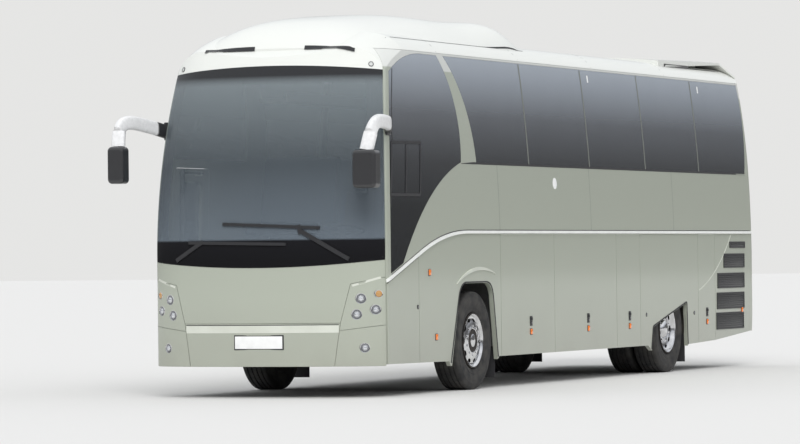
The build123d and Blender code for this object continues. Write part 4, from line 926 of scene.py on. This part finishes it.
root_z = 2.710
arm_half_wide = 0.038
arm_half_high = 0.070
arm_root = (0.480, 1.232, root_z - 0.004)
left_knots = (arm_root, (0.30, 1.300, 2.738), (-0.02, 1.332, 2.742), (-0.145, 1.322, 2.660),
              (-0.200, 1.285, 2.455))
right_knots = (arm_root, (0.30, 1.315, 2.750), (-0.02, 1.405, 2.790), (-0.145, 1.446, 2.725),
               (-0.200, 1.440, 2.540))
arm_mat, arm_shader = material("mirror_arm", (0.80, 0.81, 0.78), 0.35)
arm_white = ranged(arm_mat, noise_level(arm_mat, 30, 3), 0.3, 0.7, 0.70, 0.80)
arm_root_end = ranged(arm_mat, axis_place(arm_mat, "X"), st(0.36), st(0.34))
arm_colour = mixed(arm_mat, arm_root_end, (0.025, 0.025, 0.027, 1), arm_white)
wire(arm_mat, arm_colour, arm_shader.inputs["Base Color"])


def smooth_path(knots, steps):
    """Points on a smooth curve through knots."""
    knots = [Vector(k) for k in knots]
    ends = [knots[0] * 2 - knots[1], *knots, knots[-1] * 2 - knots[-2]]
    path = []
    for a, b, c, d in zip(ends, ends[1:], ends[2:], ends[3:]):
        for i in range(steps):
            t = i / steps
            first = (c - a) * t
            second = (2 * a - 5 * b + 4 * c - d) * t ** 2
            third = (3 * b - a - 3 * c + d) * t ** 3
            path.append(0.5 * (2 * b + first + second + third))
    return path + [knots[-1]]


def swept(name, path, half_wide, half_high, mat, turns=28):
    """A rounded flat section swept along points; half_high lies across the path in the plane of its bend."""
    bm = bmesh.new()
    rows = []
    last = None
    for i, point in enumerate(path):
        run = (path[min(i + 1, len(path) - 1)] - path[max(i - 1, 0)]).normalized()
        across = run.cross(Vector((0, 0, 1)) if abs(run.z) < 0.9 else Vector((0, 1, 0))).normalized()
        if last is not None and across.dot(last) < 0:
            across = -across
        last = across
        over_it = run.cross(across)
        row = []
        for k in range(turns):
            a = 2 * math.pi * k / turns
            c, s = math.cos(a), math.sin(a)
            row.append(bm.verts.new(point + across * math.copysign(abs(c) ** 0.6, c) * half_wide
                                    + over_it * math.copysign(abs(s) ** 0.6, s) * half_high))
        rows.append(row)
    for one, two in zip(rows, rows[1:]):
        for k in range(turns):
            bm.faces.new((one[k], one[(k + 1) % turns], two[(k + 1) % turns], two[k]))
    bm.faces.new(rows[0])
    bm.faces.new(rows[-1])
    bmesh.ops.recalc_face_normals(bm, faces=bm.faces)
    return bm_piece(name, bm, mat, sharp=50)


dress(arm_mat, "mirror_arms")
for word, side, knots in (("left", 1, left_knots), ("right", -1, right_knots)):
    path = smooth_path([(st(back), side * y, z) for back, y, z in knots], 10)
    arm = swept(f"mirror_arm_{word}", path, arm_half_wide, arm_half_high, arm_mat)
    if word == "left":
        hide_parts("mirror_arms")
    block(f"mirror_pad_{word}", [((st(0.490), side * 1.222, root_z), (0.104, 0.034, 0.184), 0.010)], black)

# Mirror heads: black moulded shells, each hung from its arm, with a flat glass and a wide-angle glass.
# The glasses are silvered and held in the shell's rim.

heads = (("left", 1.285, 2.270, 0.250, 0.380), ("right", -1.440, 2.357, 0.180, 0.375))
glasses = (("main", 0.56, 0.17), ("wide", 0.26, -0.30))
head_black, head_shader = material("mirror_head", (0.028, 0.028, 0.030), 0.3)
head_shader.inputs["Coat Weight"].default_value = 0.4
bumped(head_black, head_shader, 350, 0.0002)
dress(head_black, "mirror_heads")
silver, silver_shader = material("mirror_glass", (0.88, 0.90, 0.92), 0.02, 1.0)
mottled(silver, silver_shader, (0.86, 0.88, 0.90), (0.90, 0.92, 0.94), 3)
for word, y, middle_z, wide, tall in heads:
    for part, share, drop in glasses:
        z = middle_z + drop * tall
        place, _ = cast(["mirror_heads"], (nose - 0.25, y, z), (1, 0, 0))
        block(f"mirror_{part}_{word}", [((place.x, y, z), (0.008, wide * 0.80, tall * share), 0.003)], silver)

# Wipers: pantograph arms of blacked steel on spindles under the windscreen, with rubber blades.
# They park across the lower part of the pane.

dress(black, "wipers")

# Passenger and driver's seats: padded coach seats in woven cloth, bolted to rails in the floor.
# The passengers' cloth is dark blue with a coarse fleck, and the driver's is dark grey.

cloth, cloth_shader = material("seat_cloth", (0.10, 0.12, 0.20), 0.9)
mottled(cloth, cloth_shader, (0.045, 0.055, 0.085), (0.075, 0.085, 0.125), 60, 9)
bumped(cloth, cloth_shader, 700, 0.0015)
driver_cloth, driver_shader = material("driver_cloth", (0.05, 0.05, 0.055), 0.9)
mottled(driver_cloth, driver_shader, (0.035, 0.035, 0.04), (0.07, 0.07, 0.08), 40, 8)
dress(cloth, "seats")
dress(driver_cloth, "driver_seat")

# The driver's place and the floor: a moulded grey dashboard with a grained skin, and a black steering wheel.
# The floor and its steps are plywood under speckled grey vinyl.

vinyl, vinyl_shader = material("floor_vinyl", (0.20, 0.20, 0.21), 0.6)
mottled(vinyl, vinyl_shader, (0.15, 0.15, 0.16), (0.25, 0.25, 0.26), 120)
fascia, fascia_shader = material("dashboard_plastic", (0.20, 0.20, 0.20), 0.55)
bumped(fascia, fascia_shader, 500, 0.0006)
rim_mat, rim_shader = material("steering_rim", (0.02, 0.02, 0.02), 0.45)
bumped(rim_mat, rim_shader, 600, 0.0003)
dress(vinyl, "cabin_floor")
dress(fascia, "dashboard")
dress(rim_mat, "steering_wheel")

# Luggage racks: laminate shelves hung along both sides over the seats.
# Each has a raised lip along its inner edge.

rack_middle = st(7.05)
rack_long = 9.1
rack_mat, rack_shader = material("rack_laminate", (0.55, 0.55, 0.53), 0.5)
bumped(rack_mat, rack_shader, 300, 0.0003)
for word, side in sides:
    block(f"luggage_rack_{word}", [((rack_middle, side * 0.955, 3.080), (rack_long, 0.330, 0.045), 0.012),
                                   ((rack_middle, side * 0.800, 3.110), (rack_long, 0.030, 0.110), 0.010)],
          rack_mat)

# Underneath: a welded steel frame and axles in black paint, sooted with road dirt, and a cast-iron engine.
# The luggage hold is bright sheet metal, and the mud flaps are plain rubber.

chassis, chassis_shader = material("chassis_paint", (0.05, 0.05, 0.05), 0.6, 0.2)
mottled(chassis, chassis_shader, (0.03, 0.03, 0.03), (0.10, 0.09, 0.075), 7)
bumped(chassis, chassis_shader, 150, 0.0006)
cast_iron, iron_shader = material("cast_iron", (0.16, 0.16, 0.15), 0.65, 0.5)
mottled(cast_iron, iron_shader, (0.10, 0.10, 0.095), (0.20, 0.19, 0.17), 12)
sheet_metal, sheet_shader = material("hold_sheet", (0.42, 0.43, 0.43), 0.4, 0.8)
mottled(sheet_metal, sheet_shader, (0.34, 0.35, 0.35), (0.48, 0.49, 0.49), 5)
dress(chassis, "underframe", "front_beam", "rear_axle", "wheel_arches")
dress(cast_iron, "engine", "knuckle_left", "knuckle_right")
dress(sheet_metal, "luggage_hold")
dress(rubber, "mud_flaps")

# Door arms: bent steel tubes in dark paint, which carry the doors out and along the side.
# They turn on posts inside the doorways.

door_arm_mat, door_arm_shader = material("door_arm_paint", (0.10, 0.10, 0.10), 0.45, 0.4)
bumped(door_arm_mat, door_arm_shader, 300, 0.0003)
dress(door_arm_mat, "door_arms_front", "door_arms_middle")

# Rear lamps: three round units in a column on each side, red, amber and clear from the top.
# Each has a black rim and a domed plastic lens.

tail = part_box("rear_lamps")[0].x
rear_lamp_y = 1.085
rear_rim = [(0.066, -0.002), (0.066, 0.002), (0.058, 0.003)]
rear_dome = [(0.058, 0.001), (0.050, 0.004), (0.022, 0.006), (0.0002, 0.006)]
# The red lenses emit a faint painted light, as if lit from inside.
red, _ = glossy_lens("red_lens", (0.55, 0.02, 0.015), 0.15, 200, painted_glow=(0.6, 0.02, 0.02), strength=0.08)
dress(red, "rear_lamps")
for word, side in sides:
    for number, (z, mat) in enumerate(((1.450, lens), (1.600, amber), (1.750, red))):
        place, normal = cast(["rear_lamps", "rear_wall"], (tail - 1, side * rear_lamp_y, z), (1, 0, 0))
        turned(f"rear_lamp_{number}_{word}_rim", rear_rim, black, place, normal)
        turned(f"rear_lamp_{number}_{word}_lens", rear_dome, mat, place, normal)

# The engine hatch: a field of black slats let into the lacquered hatch, which lets out the engine's heat.
# A blank plate in a black frame is screwed on below, and rides with the hatch.

hatch_nodes = ["engine_hatch", "rear_wall"]
first_slat_z = 0.900
hatch_slat_pitch = 0.030
hatch_slat_count = 14
rear_plate_z = 0.680
slats = bmesh.new()
for i in range(hatch_slat_count):
    z = first_slat_z + hatch_slat_pitch * i
    place, _ = cast(hatch_nodes, (tail - 1, 0, z), (1, 0, 0))
    slat(slats, (place.x - 0.002, 0, z), -slat_lean, "Y", (0.018, 1.30, 0.003))
bm_piece("hatch_slats", slats, slat_grey, "engine_hatch", smooth=False)
place, _ = cast(hatch_nodes, (tail - 1, 0, rear_plate_z + 0.02), (1, 0, 0))
for title, thick, size, out, mat in (("rear_plate_frame", 0.010, frame_size, 0.001, black),
                                     ("rear_plate", 0.004, plate_size, -0.0045, sticker)):
    block(title, [((place.x + out, 0, rear_plate_z), (thick, *size), thick * 0.3)], mat, "engine_hatch")
